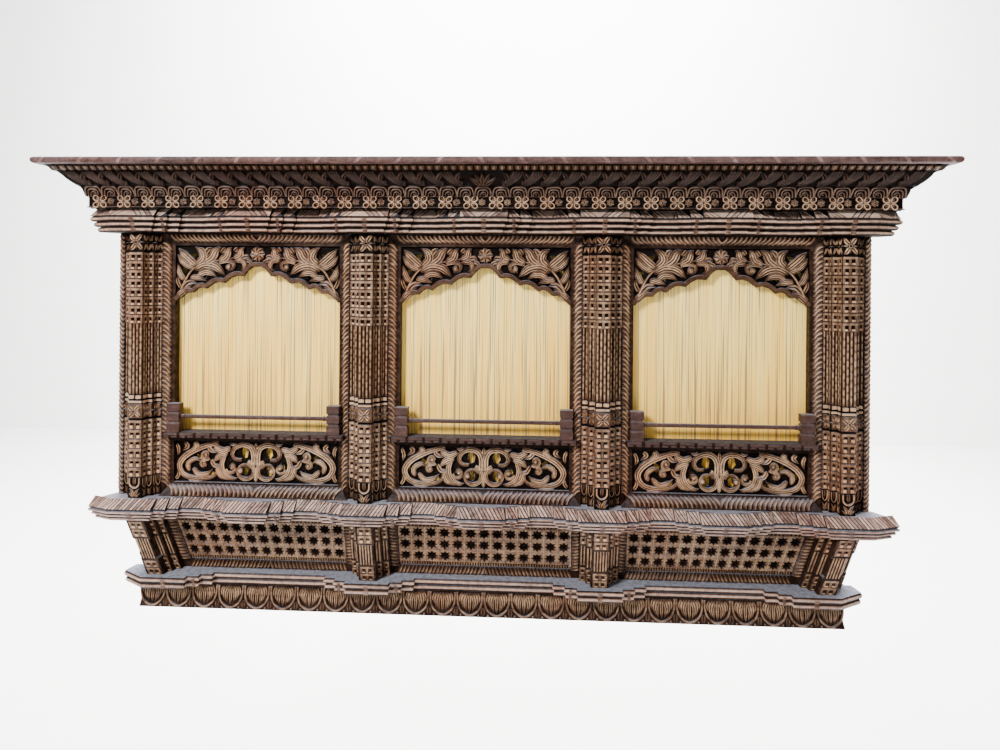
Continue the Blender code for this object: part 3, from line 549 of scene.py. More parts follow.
def ribbon(path: Sequence[Vector], width: float, height: float, profile: Profile = Profile.ROUND,
           taper: Taper = Taper.BAR) -> BMesh:
    """Carve a ribbon along a line in the motif's plane.

    Args:
        path: The middle line.
        width: Its greatest width.
        height: Its greatest height above the ground.
        profile: Its cross-section.
        taper: How its width changes.

    Returns:
        The closed ribbon. A line that ends where it starts gives a ring.
    """
    last = len(path) - 1
    looped = (path[0] - path[-1]).length < MERGE
    rows = []
    for number, point in enumerate(path):
        before = path[number - 1] if number > 0 else path[last - 1] if looped else point
        after = path[number + 1] if number < last else path[1] if looped else point
        heading = (after - before).normalized()
        side = Vector((heading.y, -heading.x))
        share = taper.width(number / last)
        lift = height * (0.55 + 0.45 * share)
        rows.append([Vector((point.x + side.x * across * width * share / 2,
                             point.y + side.y * across * width * share / 2, rise * lift))
                     for across, rise in profile.value])
    return skin(rows)


def ring(radius: float, width: float, height: float, sides: int = 12) -> BMesh:
    """Carve a round ring about the motif's middle."""
    line = arc_path((0.0, 0.0), (radius, radius), (0.0, math.tau), sides)
    return ribbon(line, width, height, Profile.RIDGE)


def button(radius: float, height: float, sides: int = 10) -> BMesh:
    """Carve a low dome about the motif's middle.

    Args:
        radius: Its radius.
        height: Its height.
        sides: How many sides it has.

    Returns:
        The dome.
    """
    form = bmesh.new()
    bmesh.ops.create_uvsphere(form, u_segments=sides, v_segments=6, radius=1.0)
    bmesh.ops.scale(form, vec=(radius, radius, height), verts=form.verts)
    return form


def pad(width: float, height: float, depth: float, chamfer: float = 0.0012) -> BMesh:
    """Carve a square-sided block with softened front edges, its back on the ground.

    Args:
        width: Its width.
        height: Its height on the face.
        depth: How far it stands out.
        chamfer: Width of its softened edges.

    Returns:
        The block.
    """
    form = bmesh.new()
    place = Matrix.Translation((0.0, 0.0, depth / 2)) @ Matrix.Diagonal((width, height, depth, 1.0))
    bmesh.ops.create_cube(form, size=1.0, matrix=place)
    front = [edge for edge in form.edges if max(vert.co.z for vert in edge.verts) > depth / 2]
    bmesh.ops.bevel(form, geom=front, offset=chamfer, affect="EDGES", segments=1, profile=0.5, material=-1)
    return form


def slab(corners: Sequence[Pair], depth: float, chamfer: float = 0.0007) -> BMesh:
    """Carve a flat land with the given corners and softened edges, its foot let into the ground.

    Args:
        corners: Its corners, in order.
        depth: How far it stands out.
        chamfer: Width of its softened edges.

    Returns:
        The land.
    """
    middle = sum((Vector(corner) for corner in corners), Vector((0.0, 0.0))) / len(corners)
    inner = [Vector(c) + (middle - Vector(c)).normalized() * chamfer for c in corners]
    rows = [[Vector((x, y, height)) for x, y in ring]
            for ring, height in ((corners, -0.0006), (corners, depth - chamfer), (inner, depth))]
    return skin(rows)


def settled(form: BMesh, name: str) -> Mesh:
    """Turn a worked shape into a mesh, and let the shape go.

    Args:
        form: The worked shape.
        name: Name of the mesh.

    Returns:
        The mesh.
    """
    mesh = bpy.data.meshes.new(name)
    form.to_mesh(mesh)
    form.free()
    return mesh


def carved(form: BMesh, depth: float, low: float = 0.10, high: float = 0.95) -> Mesh:
    """Turn a shape into a mesh that knows its level of wear and painted shade, set by height.

    Args:
        form: The shape, with its ground at height 0.
        depth: The height at which its level is highest.
        low: Level on the ground, painted shade.
        high: Level at the top, wear with a painted highlight.

    Returns:
        The finished motif.
    """
    wear_and_shade = form.verts.layers.float.new(WEAR_AND_SHADE)
    for vert in form.verts:
        # Low down the level paints shade, on top it paints a highlight over the wear.
        vert[wear_and_shade] = low + (high - low) * min(max(vert.co.z / depth, 0.0), 1.0)
    return settled(form, "motif")


def cut(points: Sequence[Pair], steps: int, width: float, height: float, profile: Profile = Profile.ROUND,
        taper: Taper = Taper.BAR, depth: float = 0.005, low: float = 0.10, high: float = 0.95) -> Mesh:
    """Carve one ribbon through a few points as a motif.

    Args:
        points: The points it passes.
        steps: How many stretches it is cut into.
        width: Its greatest width.
        height: Its greatest height.
        profile: Its cross-section.
        taper: How its width changes.
        depth: The height at which its level is highest.
        low: Level on the ground, painted shade.
        high: Level at the top, wear with a painted highlight.

    Returns:
        The finished motif.
    """
    return carved(ribbon(smooth_path(points, steps), width, height, profile, taper), depth, low, high)


def moved(x: float, y: float, z: float = 0.0) -> Matrix:
    """Give the matrix that shifts a motif."""
    return Matrix.Translation((x, y, z))


def turned(angle: float) -> Matrix:
    """Give the matrix that turns a motif about its middle."""
    return Matrix.Rotation(angle, 4, "Z")


class Relief:
    """A piece in the making: bodies and motifs are added to it, then it is finished as one mesh."""

    def __init__(self, name: str) -> None:
        """Start an empty piece.

        Args:
            name: Name of the piece.
        """
        self.name = name
        self.form = bmesh.new()
        self.form.verts.layers.float.new(WEAR_AND_SHADE)

    def add(self, motif: Mesh, place: Matrix = Matrix.Identity(4)) -> None:
        """Add a copy of a motif at a place.

        Args:
            motif: The motif.
            place: The matrix that sets it.
        """
        copy = motif.copy()
        copy.transform(place)
        self.form.from_mesh(copy)
        bpy.data.meshes.remove(copy)

    def add_round(self, motif: Mesh, count: int, first: float = 0.0) -> None:
        """Add copies of a motif evenly round its middle, the first at a share of one step."""
        for number in range(count):
            self.add(motif, turned((number + first) * math.tau / count))

    def body(self, form: BMesh, wear_and_shade: float | Callable[[Vector], float] = 0.35) -> None:
        """Add a plain body; what lies against the wall is plain sawn wood.

        Args:
            form: The body.
            wear_and_shade: Its level of wear and painted shade, all over or as a rule for each point.
        """
        layer = form.verts.layers.float.new(WEAR_AND_SHADE)
        for vert in form.verts:
            vert[layer] = wear_and_shade(vert.co) if callable(wear_and_shade) else wear_and_shade
            if vert.co.y > -MERGE:
                vert[layer] = SAWN_WEAR
        mesh = settled(form, "body")
        self.form.from_mesh(mesh)
        bpy.data.meshes.remove(mesh)

    def mesh(self) -> Mesh:
        """Close the work and give it as one mesh with its faces pointing outwards."""
        bmesh.ops.recalc_face_normals(self.form, faces=self.form.faces[:])
        return settled(self.form, self.name)

    def finish(self, wood: Wood, nodes: Sequence[str] = (), slot: str = "carved_wood") -> Object:
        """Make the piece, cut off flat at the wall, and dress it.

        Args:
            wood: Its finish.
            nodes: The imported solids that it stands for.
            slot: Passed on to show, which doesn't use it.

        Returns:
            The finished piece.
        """
        for vert in self.form.verts:
            vert.co.y = min(vert.co.y, 0.0)
        return show(self.name, self.mesh(), wood.material(), nodes, slot)


def show(name: str, mesh: Mesh, material: Material, nodes: Sequence[str], slot: str) -> Object:
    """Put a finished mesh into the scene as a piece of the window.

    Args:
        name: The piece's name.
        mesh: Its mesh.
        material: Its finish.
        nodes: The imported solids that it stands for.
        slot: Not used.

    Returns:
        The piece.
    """
    mesh.materials.clear()
    mesh.materials.append(material)
    mesh.shade_smooth()
    mesh.set_sharp_from_angle(angle=SHARP_ANGLE)
    piece = bpy.data.objects.new(name, mesh)
    bpy.context.scene.collection.objects.link(piece)
    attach(piece, "root")
    if nodes:
        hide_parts(*nodes)
    LOG.info("%s: %d triangles", name, sum(len(face.vertices) - 2 for face in mesh.polygons))
    return piece


CHANCE = random.Random(11)
SWAY = 0.05
EYE_SPACING = 2.4
EYE_HEIGHT = 0.13


def plan_corners(half: float, depth: float, z: float) -> list[Vector]:
    """Give a board's corners at one height, from its left end at the wall round its front."""
    return [Vector((x, y, z)) for x, y in ((-half, 0.0), (-half, -depth), (half, -depth), (half, 0.0))]


def front_place(x: float, front: float, z: float) -> Matrix:
    """Give the matrix that sets a motif upright on a face that stands front metres off the wall."""
    return Panel(Vector((x, -front, z)), Vector((1, 0, 0)), Vector((0, 0, 1)), 0.0, 0.0).place(0.0, 0.0)


@dataclass
class Cornice:
    """The stacked courses over the lintel: flowers, coils, leaves, teeth and the clasped rim."""

    plan: Layout
    end: float = 1.015
    front: float = 0.177
    sunk: float = 0.003
    key_reach: Pair = (0.002, 0.017)
    leaf_reach: Pair = (0.021, 0.054)
    tooth_reach: Pair = (0.056, 0.072)
    rim_reach: float = 0.092
    flower_pitch: float = 0.0634
    coil_pitch: float = 0.0430
    leaf_pitch: float = 0.0465
    tooth_pitch: float = 0.0195
    clasp_pitch: float = 0.0980
    clasp_slant: float = 0.006
    clasp_half: float = 0.0055
    clasp_edge: float = 0.0013
    clasp_proud: float = 0.0014
    rim_sunk: float = 0.0016
    rim_wear: float = 0.48
    clasp_wear: float = 0.66

    def ring(self, reach: float, height: float) -> list[Vector]:
        """Give the four corners of a course at one height."""
        return plan_corners(self.end + reach, self.front + reach, self.plan.level(height))

    def sides(self, low: Pair, high: Pair) -> list[Panel]:
        """Give the left, front and right panels of a course.

        Args:
            low: Reach and height of its lower edge.
            high: Reach and height of its upper edge.

        Returns:
            The three panels, each from left to right as its viewer sees it.
        """
        bottom = self.ring(*low)
        rise = self.plan.level(high[1]) - self.plan.level(low[1])
        out = high[0] - low[0]
        slopes = (Vector((-out, 0.0, rise)), Vector((0.0, -out, rise)), Vector((out, 0.0, rise)))
        return [Panel.between(bottom[i], bottom[i + 1], slopes[i]) for i in range(3)]

    def start(self, name: str, reach: Pair, heights: Pair, wear_and_shade: float = 0.0) -> tuple[Relief, list[Panel]]:
        """Start a course with its plain body.

        Args:
            name: The piece's name.
            reach: Reach of its lower and upper edges.
            heights: Heights of its lower and upper edges.
            wear_and_shade: Level of its ground, low for painted shade between the motifs.

        Returns:
            The piece in the making, and its left, front and right panels.
        """
        low, high = ((out - self.sunk, height) for out, height in zip(reach, heights))
        work = Relief(name)
        work.body(skin([self.ring(*low), self.ring(*high)]), wear_and_shade)
        return work, self.sides(low, high)

    def big_flower(self) -> Mesh:
        """Carve four looped petals in a cross round a ring, with small tips between them."""
        work = Relief("big_flower")
        loop = ((0.0035, 0.0), (0.0085, 0.0048), (0.0160, 0.0056), (0.0200, 0.0), (0.0160, -0.0056),
                (0.0085, -0.0048), (0.0035, 0.0))
        petal = cut(loop, 14, 0.0048, 0.0066, depth=0.0066, low=0.05)
        vein = cut(((0.006, 0.0), (0.0160, 0.0)), 4, 0.0042, 0.0052, Profile.RIDGE, Taper.LEAF, 0.006, 0.05)
        tip = cut(((0.004, 0.0), (0.0135, 0.0)), 4, 0.0062, 0.0052, Profile.RIDGE, Taper.LEAF, 0.006, 0.05)
        for degrees in (40, 140, 220, 320):
            work.add(petal, turned(math.radians(degrees)))
            work.add(vein, turned(math.radians(degrees)))
        work.add_round(tip, 4)
        work.add(carved(ring(0.0040, 0.0026, 0.0078, 10), 0.007))
        work.add(carved(button(0.0018, 0.0070, 6), 0.007))
        return work.mesh()

    def small_flower(self) -> Mesh:
        """Carve six round petals about a ring."""
        work = Relief("small_flower")
        line = ((0.0035, 0.0), (0.0122, 0.0))
        work.add_round(cut(line, 4, 0.0080, 0.0060, Profile.VEINED, Taper.TONGUE, 0.007, 0.05), 6, 0.5)
        work.add(carved(ring(0.0030, 0.0024, 0.0070, 10), 0.007))
        return work.mesh()

    def flowers(self) -> None:
        """Make the upright band of large and small flowers."""
        work, sides = self.start("flower_course", (0.0, 0.0), (self.plan.flower_bottom, self.plan.key_bottom))
        big, small = self.big_flower(), self.small_flower()
        fillet = carved(pad(1.0, 0.0026, 0.0055, 0.0008), 0.006, 0.0, 0.45)
        for side in sides:
            middle = side.height / 2
            spots = side.spots(self.flower_pitch)
            gap = side.length / len(spots)
            for spot in spots:
                turn, size = CHANCE.uniform(-0.04, 0.04), CHANCE.uniform(0.95, 1.03)
                work.add(big, side.place(spot, middle, turn, size))
                if spot + gap / 2 < side.length - 0.012:
                    work.add(small, side.place(spot + gap * 0.44, middle, CHANCE.uniform(-0.3, 0.3), 0.84))
            for edge in (0.0014, side.height - 0.0014):
                bar = side.place(side.length / 2, edge) @ Matrix.Diagonal((side.length, 1.0, 1.0, 1.0))
                work.add(fillet, bar)
        work.finish(CARVED, ["flower_band"])

    def shell(self) -> Mesh:
        """Carve nested rounded arches that lean round a button."""
        work = Relief("shell")
        outer = ((-0.0215, 0.001), (-0.0190, 0.0185), (-0.0125, 0.0262), (0.0100, 0.0262), (0.0172, 0.0195),
                 (0.0205, 0.001))
        middle = ((-0.0150, 0.0005), (-0.0128, 0.0140), (-0.0075, 0.0196), (0.0060, 0.0196), (0.0112, 0.0135),
                  (0.0100, 0.0050), (0.0050, 0.0020))
        inner = ((-0.0085, 0.0005), (-0.0066, 0.0095), (-0.0010, 0.0136), (0.0050, 0.0112), (0.0056, 0.0066))
        for line, width in ((outer, 0.0054), (middle, 0.0044), (inner, 0.0036)):
            work.add(cut(line, 16, width, 0.0068, depth=0.0068, low=0.05))
        work.add(carved(button(0.0030, 0.0060, 8), 0.006), moved(-0.0004, 0.0066))
        return work.mesh()

    def coils(self) -> None:
        """Make the sloping course of squared coils."""
        heights = (self.plan.key_bottom, self.plan.leaf_bottom)
        work, sides = self.start("coil_course", self.key_reach, heights)
        coil = self.shell()
        for side in sides:
            for spot in side.spots(self.coil_pitch):
                flip = spot > side.length / 2
                work.add(coil, side.place(spot, 0.0, 0.0, CHANCE.uniform(0.97, 1.03), flip))
        work.finish(SHADED, ["key_cove"])

    def twisted_leaf(self) -> Mesh:
        """Carve a sheaf of strands that leans back, with a curled leaf rising from it."""
        work = Relief("twisted_leaf")
        for number in range(4):
            shift = number * 0.0068
            strand = ((-0.0270 + shift, 0.0455), (-0.0190 + shift, 0.0300), (-0.0030 + shift, 0.0130),
                      (0.0110 + shift * 0.6, 0.0015))
            work.add(cut(strand, 9, 0.0066, 0.0080, Profile.SCALE, Taper.SCROLL, 0.010, 0.03))
        tall = ((0.0080, 0.0215), (0.0120, 0.0330), (0.0200, 0.0440))
        work.add(cut(tall, 6, 0.0125, 0.0090, Profile.VEINED, Taper.LEAF, 0.010, 0.03))
        low = ((0.0150, 0.0020), (0.0200, 0.0110), (0.0200, 0.0200))
        work.add(cut(low, 5, 0.0085, 0.0080, Profile.RIDGE, Taper.LEAF, 0.010, 0.03))
        return work.mesh()

    def leaves(self) -> None:
        """Make the cove of twisted leaves, mirrored about a fan in the middle."""
        heights = (self.plan.leaf_bottom, self.plan.tooth_bottom)
        work, sides = self.start("leaf_course", self.leaf_reach, heights, 0.06)
        leaf = self.twisted_leaf()
        fan = cut(((0.0, 0.002), (0.0, 0.042)), 6, 0.012, 0.010, Profile.VEINED, Taper.LEAF, 0.010)
        for number, side in enumerate(sides):
            middle = side.length / 2
            for spot in side.spots(self.leaf_pitch):
                if number == 1 and abs(spot - middle) < self.leaf_pitch * 0.6:
                    continue
                work.add(leaf, side.place(spot, 0.0, CHANCE.uniform(-SWAY, SWAY), 1.0, spot > middle))
            if number == 1:
                for turn in (-0.9, -0.45, 0.0, 0.45, 0.9):
                    work.add(fan, side.place(middle, 0.001, turn))
        work.finish(SHADED_COVE, ["leaf_cove"], "dark_wood")

    def teeth(self) -> None:
        """Make the thin course of rounded teeth."""
        heights = (self.plan.tooth_bottom, self.plan.rim_bottom)
        work, sides = self.start("tooth_row", self.tooth_reach, heights)
        form = Relief("tooth")
        top = (0.0, 0.0185)
        form.add(cut((top, (0.0, 0.0015)), 5, 0.0145, 0.0042, Profile.FLAT, Taper.TONGUE, 0.008))
        form.add(cut((top, (0.0, 0.0055)), 4, 0.0075, 0.0064, Profile.RIDGE, Taper.TONGUE, 0.007))
        tooth = form.mesh()
        for side in sides:
            for spot in side.spots(self.tooth_pitch):
                work.add(tooth, side.place(spot, 0.0, 0.0, CHANCE.uniform(0.95, 1.02)))
        work.finish(CARVED, ["tooth_course"], "dark_wood")

    def clasp(self, x: float, slant: float) -> BMesh:
        """Wrap a slanted clasp round the rim's nose at x.

        Args:
            x: The clasp's middle.
            slant: How far it leans along the rim for each radian.

        Returns:
            The clasp.
        """
        radius = (self.plan.rim_top - self.plan.rim_bottom) / 2
        middle = self.plan.level(self.plan.rim_bottom) + radius
        depth = self.front + self.rim_reach - radius - self.rim_sunk
        half, inner, outer = self.clasp_half, radius - 0.002, radius + self.clasp_proud
        crown = half - self.clasp_edge
        section = ((-half, inner), (-crown, outer), (crown, outer), (half, inner))
        rows = []
        for step in range(9):
            angle = math.radians(-80 + 20 * step)
            rows.append([Vector((x + slant * angle + across, -(depth + reach * math.cos(angle)),
                                 middle + min(reach, radius) * math.sin(angle)))
                         for across, reach in section])
        return skin(rows)

    def rim(self) -> None:
        """Make the round-nosed top board with its clasps."""
        radius = (self.plan.rim_top - self.plan.rim_bottom) / 2
        rows = []
        for step in range(13):
            angle = math.radians(-90 + 15 * step)
            reach = self.rim_reach - radius + radius * math.cos(angle)
            height = self.plan.rim_bottom + radius + radius * math.sin(angle)
            rows.append(self.ring(reach - self.rim_sunk, height))
        work = Relief("rim_board")
        work.body(skin(rows), self.rim_wear)
        half = self.end + self.rim_reach - 0.03
        count = round(2 * half / self.clasp_pitch)
        for number in range(count + 1):
            x = -half + 2 * half * number / count
            form = self.clasp(x, self.clasp_slant if x < 0 else -self.clasp_slant)
            bmesh.ops.translate(form, vec=(0.0, 0.0, -0.0002), verts=form.verts)
            work.body(form, self.clasp_wear)
        work.finish(RIM, ["crown_rim"])

    def build(self) -> None:
        """Make every course."""
        self.flowers()
        self.coils()
        self.leaves()
        self.teeth()
        self.rim()


@dataclass
class Ledge:
    """A keyed ledge: round reeds below, sometimes a carved slope above, and a horn at each end."""

    plan: Layout
    name: str
    node: str
    centres: list[float]
    front: float
    bottom: float
    reed_top: float
    top: float
    finish: Wood
    slot: str
    key_depth: float = 0.030
    block_half: float = 0.060
    key_run: float = 0.030
    horn_out: float = 0.064
    horn_back: float = 0.027
    horn_depth: float = 0.050
    horn_taper: float = 0.024
    root_half: float = 0.970
    reeds: int = 3
    rake: float = 0.006
    roundness: float = 0.0075
    slope_run: float = 0.022
    land_pitch: float = 0.0095
    land_gap: float = 0.0030
    land_group: int = 40
    land_wear: Pair = (0.70, 1.00)
    land_lean: float = 0.50
    land_foot: float = 0.10
    land_head: float = 0.98
    land_depth: float = 0.0017
    land_least: float = 0.003
    clasp_half: Pair = (0.0065, 0.0045)
    clasp_wear: Pair = (0.66, 0.62)
    clasp_proud: float = 0.0014
    # Level on each reed's crest: wear with a painted highlight.
    crest_highlight_and_wear: float = 0.98
    top_wear: float = 0.55

    @property
    def sloped(self) -> bool:
        """Tell whether a carved slope stands over the reeds."""
        return self.top - self.reed_top > 0.005

    def outline(self) -> list[Pair]:
        """Give the closed plan, from the left root round the front to the right root."""
        rise = self.key_depth / 3
        line: list[Pair] = []
        for centre in self.centres:
            for step in (2, 1, 0):
                x = centre - self.block_half - step * self.key_run
                line += [(x, -(self.front - (step + 1) * rise)), (x, -(self.front - step * rise))]
            for step in (0, 1, 2):
                x = centre + self.block_half + step * self.key_run
                line += [(x, -(self.front - step * rise)), (x, -(self.front - (step + 1) * rise))]
        line = line[5:-5]
        tip = (line[-1][0] + self.horn_out, -(self.front - self.horn_back))
        heel = tip[1] + self.horn_depth
        right = [tip, (tip[0] - self.horn_taper, heel), (self.root_half, heel), (self.root_half, 0.0)]
        return [(-x, y) for x, y in reversed(right)] + line + right

    def inset(self, plan: list[Pair], depth: float) -> list[Pair]:
        """Move the plan's front edges inwards; the root edges stay.

        Args:
            plan: The closed plan.
            depth: How far its front edges move.

        Returns:
            The smaller plan.
        """
        count = len(plan)
        fixed = {0, 1, count - 3, count - 2, count - 1}
        lines = []
        for i in range(count):
            start = Vector(plan[i])
            along = (Vector(plan[(i + 1) % count]) - start).normalized()
            inward = Vector((-along.y, along.x))
            lines.append((start + inward * (0.0 if i in fixed else depth), along))
        moved = []
        for i in range(count):
            (a, u), (b, v) = lines[i - 1], lines[i]
            share = ((b - a).x * v.y - (b - a).y * v.x) / (u.x * v.y - u.y * v.x)
            moved.append(tuple(a + u * share))
        return moved

    def levels(self) -> list[Pair]:
        """Give the heights and insets of the reeds, the lowest furthest back."""
        pitch = (self.reed_top - self.bottom) / self.reeds
        made = []
        for reed in range(self.reeds):
            back = (self.reeds - 1 - reed) * self.rake
            for step in range(6):
                angle = math.radians(-75 + 30 * step)
                made.append((self.bottom + pitch * (reed + 0.5 + 0.5 * math.sin(angle)),
                             back + self.roundness * (1 - math.cos(angle))))
        return made

    def band(self, x: float, half: float, front: float) -> BMesh:
        """Wrap a clasp over the reeds at x, on a block or recess whose front is given.

        Args:
            x: The clasp's middle.
            half: Half of its width.
            front: How far the reeds stand off the wall there.

        Returns:
            The clasp.
        """
        profile = [(-(front - back + 0.0012), self.plan.level(z)) for z, back in self.levels()[1:-1:2]]
        inside = -(front - 0.02)
        rows = []
        for across in (x - half, x - half + 0.001, x + half - 0.001, x + half):
            proud = self.clasp_proud if abs(across - x) < half - 0.0005 else -0.002
            section = [Vector((across, y - proud, z)) for y, z in profile]
            section += [Vector((across, inside, profile[end][1])) for end in (-1, 0)]
            rows.append(section)
        return skin(rows)

    def slopes(self) -> list[Panel]:
        """Give the carved panels of the slope, one on each long front edge of the plan."""
        plan = self.outline()
        z = self.plan.level(self.reed_top)
        rise = self.top - self.reed_top
        panels = []
        for number in range(2, len(plan) - 3):
            start, end = Vector(plan[number]), Vector(plan[number + 1])
            along = (end - start).normalized()
            if (end - start).length < 0.02 or along.x < 0.3:
                continue
            inward = Vector((-along.y, along.x))
            lift = Vector((inward.x * self.slope_run, inward.y * self.slope_run, rise))
            low = Vector((start.x, start.y, z)) + Vector((inward.x, inward.y, 0.0)) * 0.001
            high = Vector((end.x, end.y, z)) + Vector((inward.x, inward.y, 0.0)) * 0.001
            panels.append(Panel.between(low, high, lift))
        return panels

    def lands(self, work: Relief) -> None:
        """Cover the slope with slanted lands leaning both ways; the cuts between them show the slope painted
        dark as shade.

        Args:
            work: The piece in the making.
        """
        height = math.hypot(self.slope_run, self.top - self.reed_top)
        lean = height * self.land_lean
        foot, head = self.land_foot * height, self.land_head * height
        for panel in self.slopes():
            side = 1.0 if panel.origin.x + panel.along.x * panel.length / 2 < 0 else -1.0
            lines, place = [], -lean / 2
            while place < panel.length + lean:
                lines.append((place - side * lean / 2, place + side * lean / 2))
                place += self.land_pitch
                if len(lines) % self.land_group == 0:
                    side = -side
                    place += lean
            for start, end in zip(lines, lines[1:]):
                low, high = ((min(max(start[i] + self.land_gap / 2, 0.0), panel.length),
                              min(max(end[i] - self.land_gap / 2, 0.0), panel.length)) for i in (0, 1))
                low, high = ((left, max(right, left + 0.0006)) for left, right in (low, high))
                if max(low[1] - low[0], high[1] - high[0]) < self.land_least:
                    continue
                corners = [(low[0], foot), (low[1], foot), (high[1], head), (high[0], head)]
                form = slab(corners, self.land_depth)
                land = carved(form, self.land_depth, 0.2, CHANCE.uniform(*self.land_wear))
                work.add(land, panel.place(0.0, 0.0))

    def wear_and_shade(self, place: Vector) -> float:
        """Give the body's level: wear and a painted highlight on each crest, painted shade in the grooves and
        under the lands.

        Args:
            place: A point of the body.

        Returns:
            Its level of wear and painted shade.
        """
        height = place.z - self.plan.underside
        if height > self.reed_top + 0.0005:
            return self.top_wear if height > self.top - 0.0008 or not self.sloped else 0.10
        share = (height - self.bottom) / (self.reed_top - self.bottom) * self.reeds % 1.0
        return self.crest_highlight_and_wear * math.sin(math.pi * share) ** 1.7

    def build(self) -> None:
        """Make the ledge as one piece."""
        work = Relief(self.name)
        plan = self.outline()
        crown = self.top - self.plan.fit
        ends = [(crown, self.roundness * 0.4)]
        if self.sloped:
            ends = [(self.reed_top + 0.0012, 0.0012), (self.top - 0.0016, self.slope_run - 0.0008),
                    (crown, self.slope_run + 0.0004)]
        rows = [[Vector((x, y, self.plan.level(z))) for x, y in self.inset(plan, back)]
                for z, back in self.levels() + ends]
        work.body(skin(rows), self.wear_and_shade)
        for centre in self.centres:
            work.body(self.band(centre, self.clasp_half[0], self.front), self.clasp_wear[0])
            for side in (-1, 1):
                x = centre + side * (self.block_half + self.key_run / 2)
                if min(self.centres) < x < max(self.centres):
                    form = self.band(x, self.clasp_half[1], self.front - self.key_depth / 3)
                    work.body(form, self.clasp_wear[1])
        if self.sloped:
            self.lands(work)
        work.finish(self.finish, [self.node], self.slot)


def bead_row(width: float, beads: int, pitch: float, bead_share: float = 0.30) -> Mesh:
    """Carve one row of a carved face: a bar over holes whose ground is painted dark as shade, with a square
    bead low in each hole.

    Args:
        width: Width of the face.
        beads: Holes in the row.
        pitch: Height of the row.
        bead_share: Height of a bead as a share of the row's.

    Returns:
        The row, with the middle of its foot at the motif's middle.
    """
    work = Relief("bead_row")
    cell = width / beads
    bead = carved(pad(cell * 0.52, pitch * bead_share, 0.0044, 0.0012), 0.0044, 0.10, 1.0)
    length = width - 0.0004
    bar = carved(pad(length, pitch * 0.27, 0.0040, 0.0008), 0.0042, 0.12, 0.80)
    sill = carved(pad(length, pitch * 0.075, 0.0036, 0.0006), 0.0040, 0.12, 0.75)
    post = carved(pad(cell * 0.36, pitch * 0.66, 0.0037, 0.0008), 0.0042, 0.10, 0.78)
    for number in range(beads):
        x = (number - (beads - 1) / 2) * cell
        work.add(bead, moved(x, pitch * (0.10 + bead_share / 2)))
    for number in range(beads + 1):
        x = min(max((number - beads / 2) * cell, -width / 2 + cell * 0.16), width / 2 - cell * 0.16)
        work.add(post, moved(x, pitch * 0.38))
    work.add(bar, moved(0.0, pitch * 0.825))
    work.add(sill, moved(0.0, pitch * 0.065))
    return work.mesh()


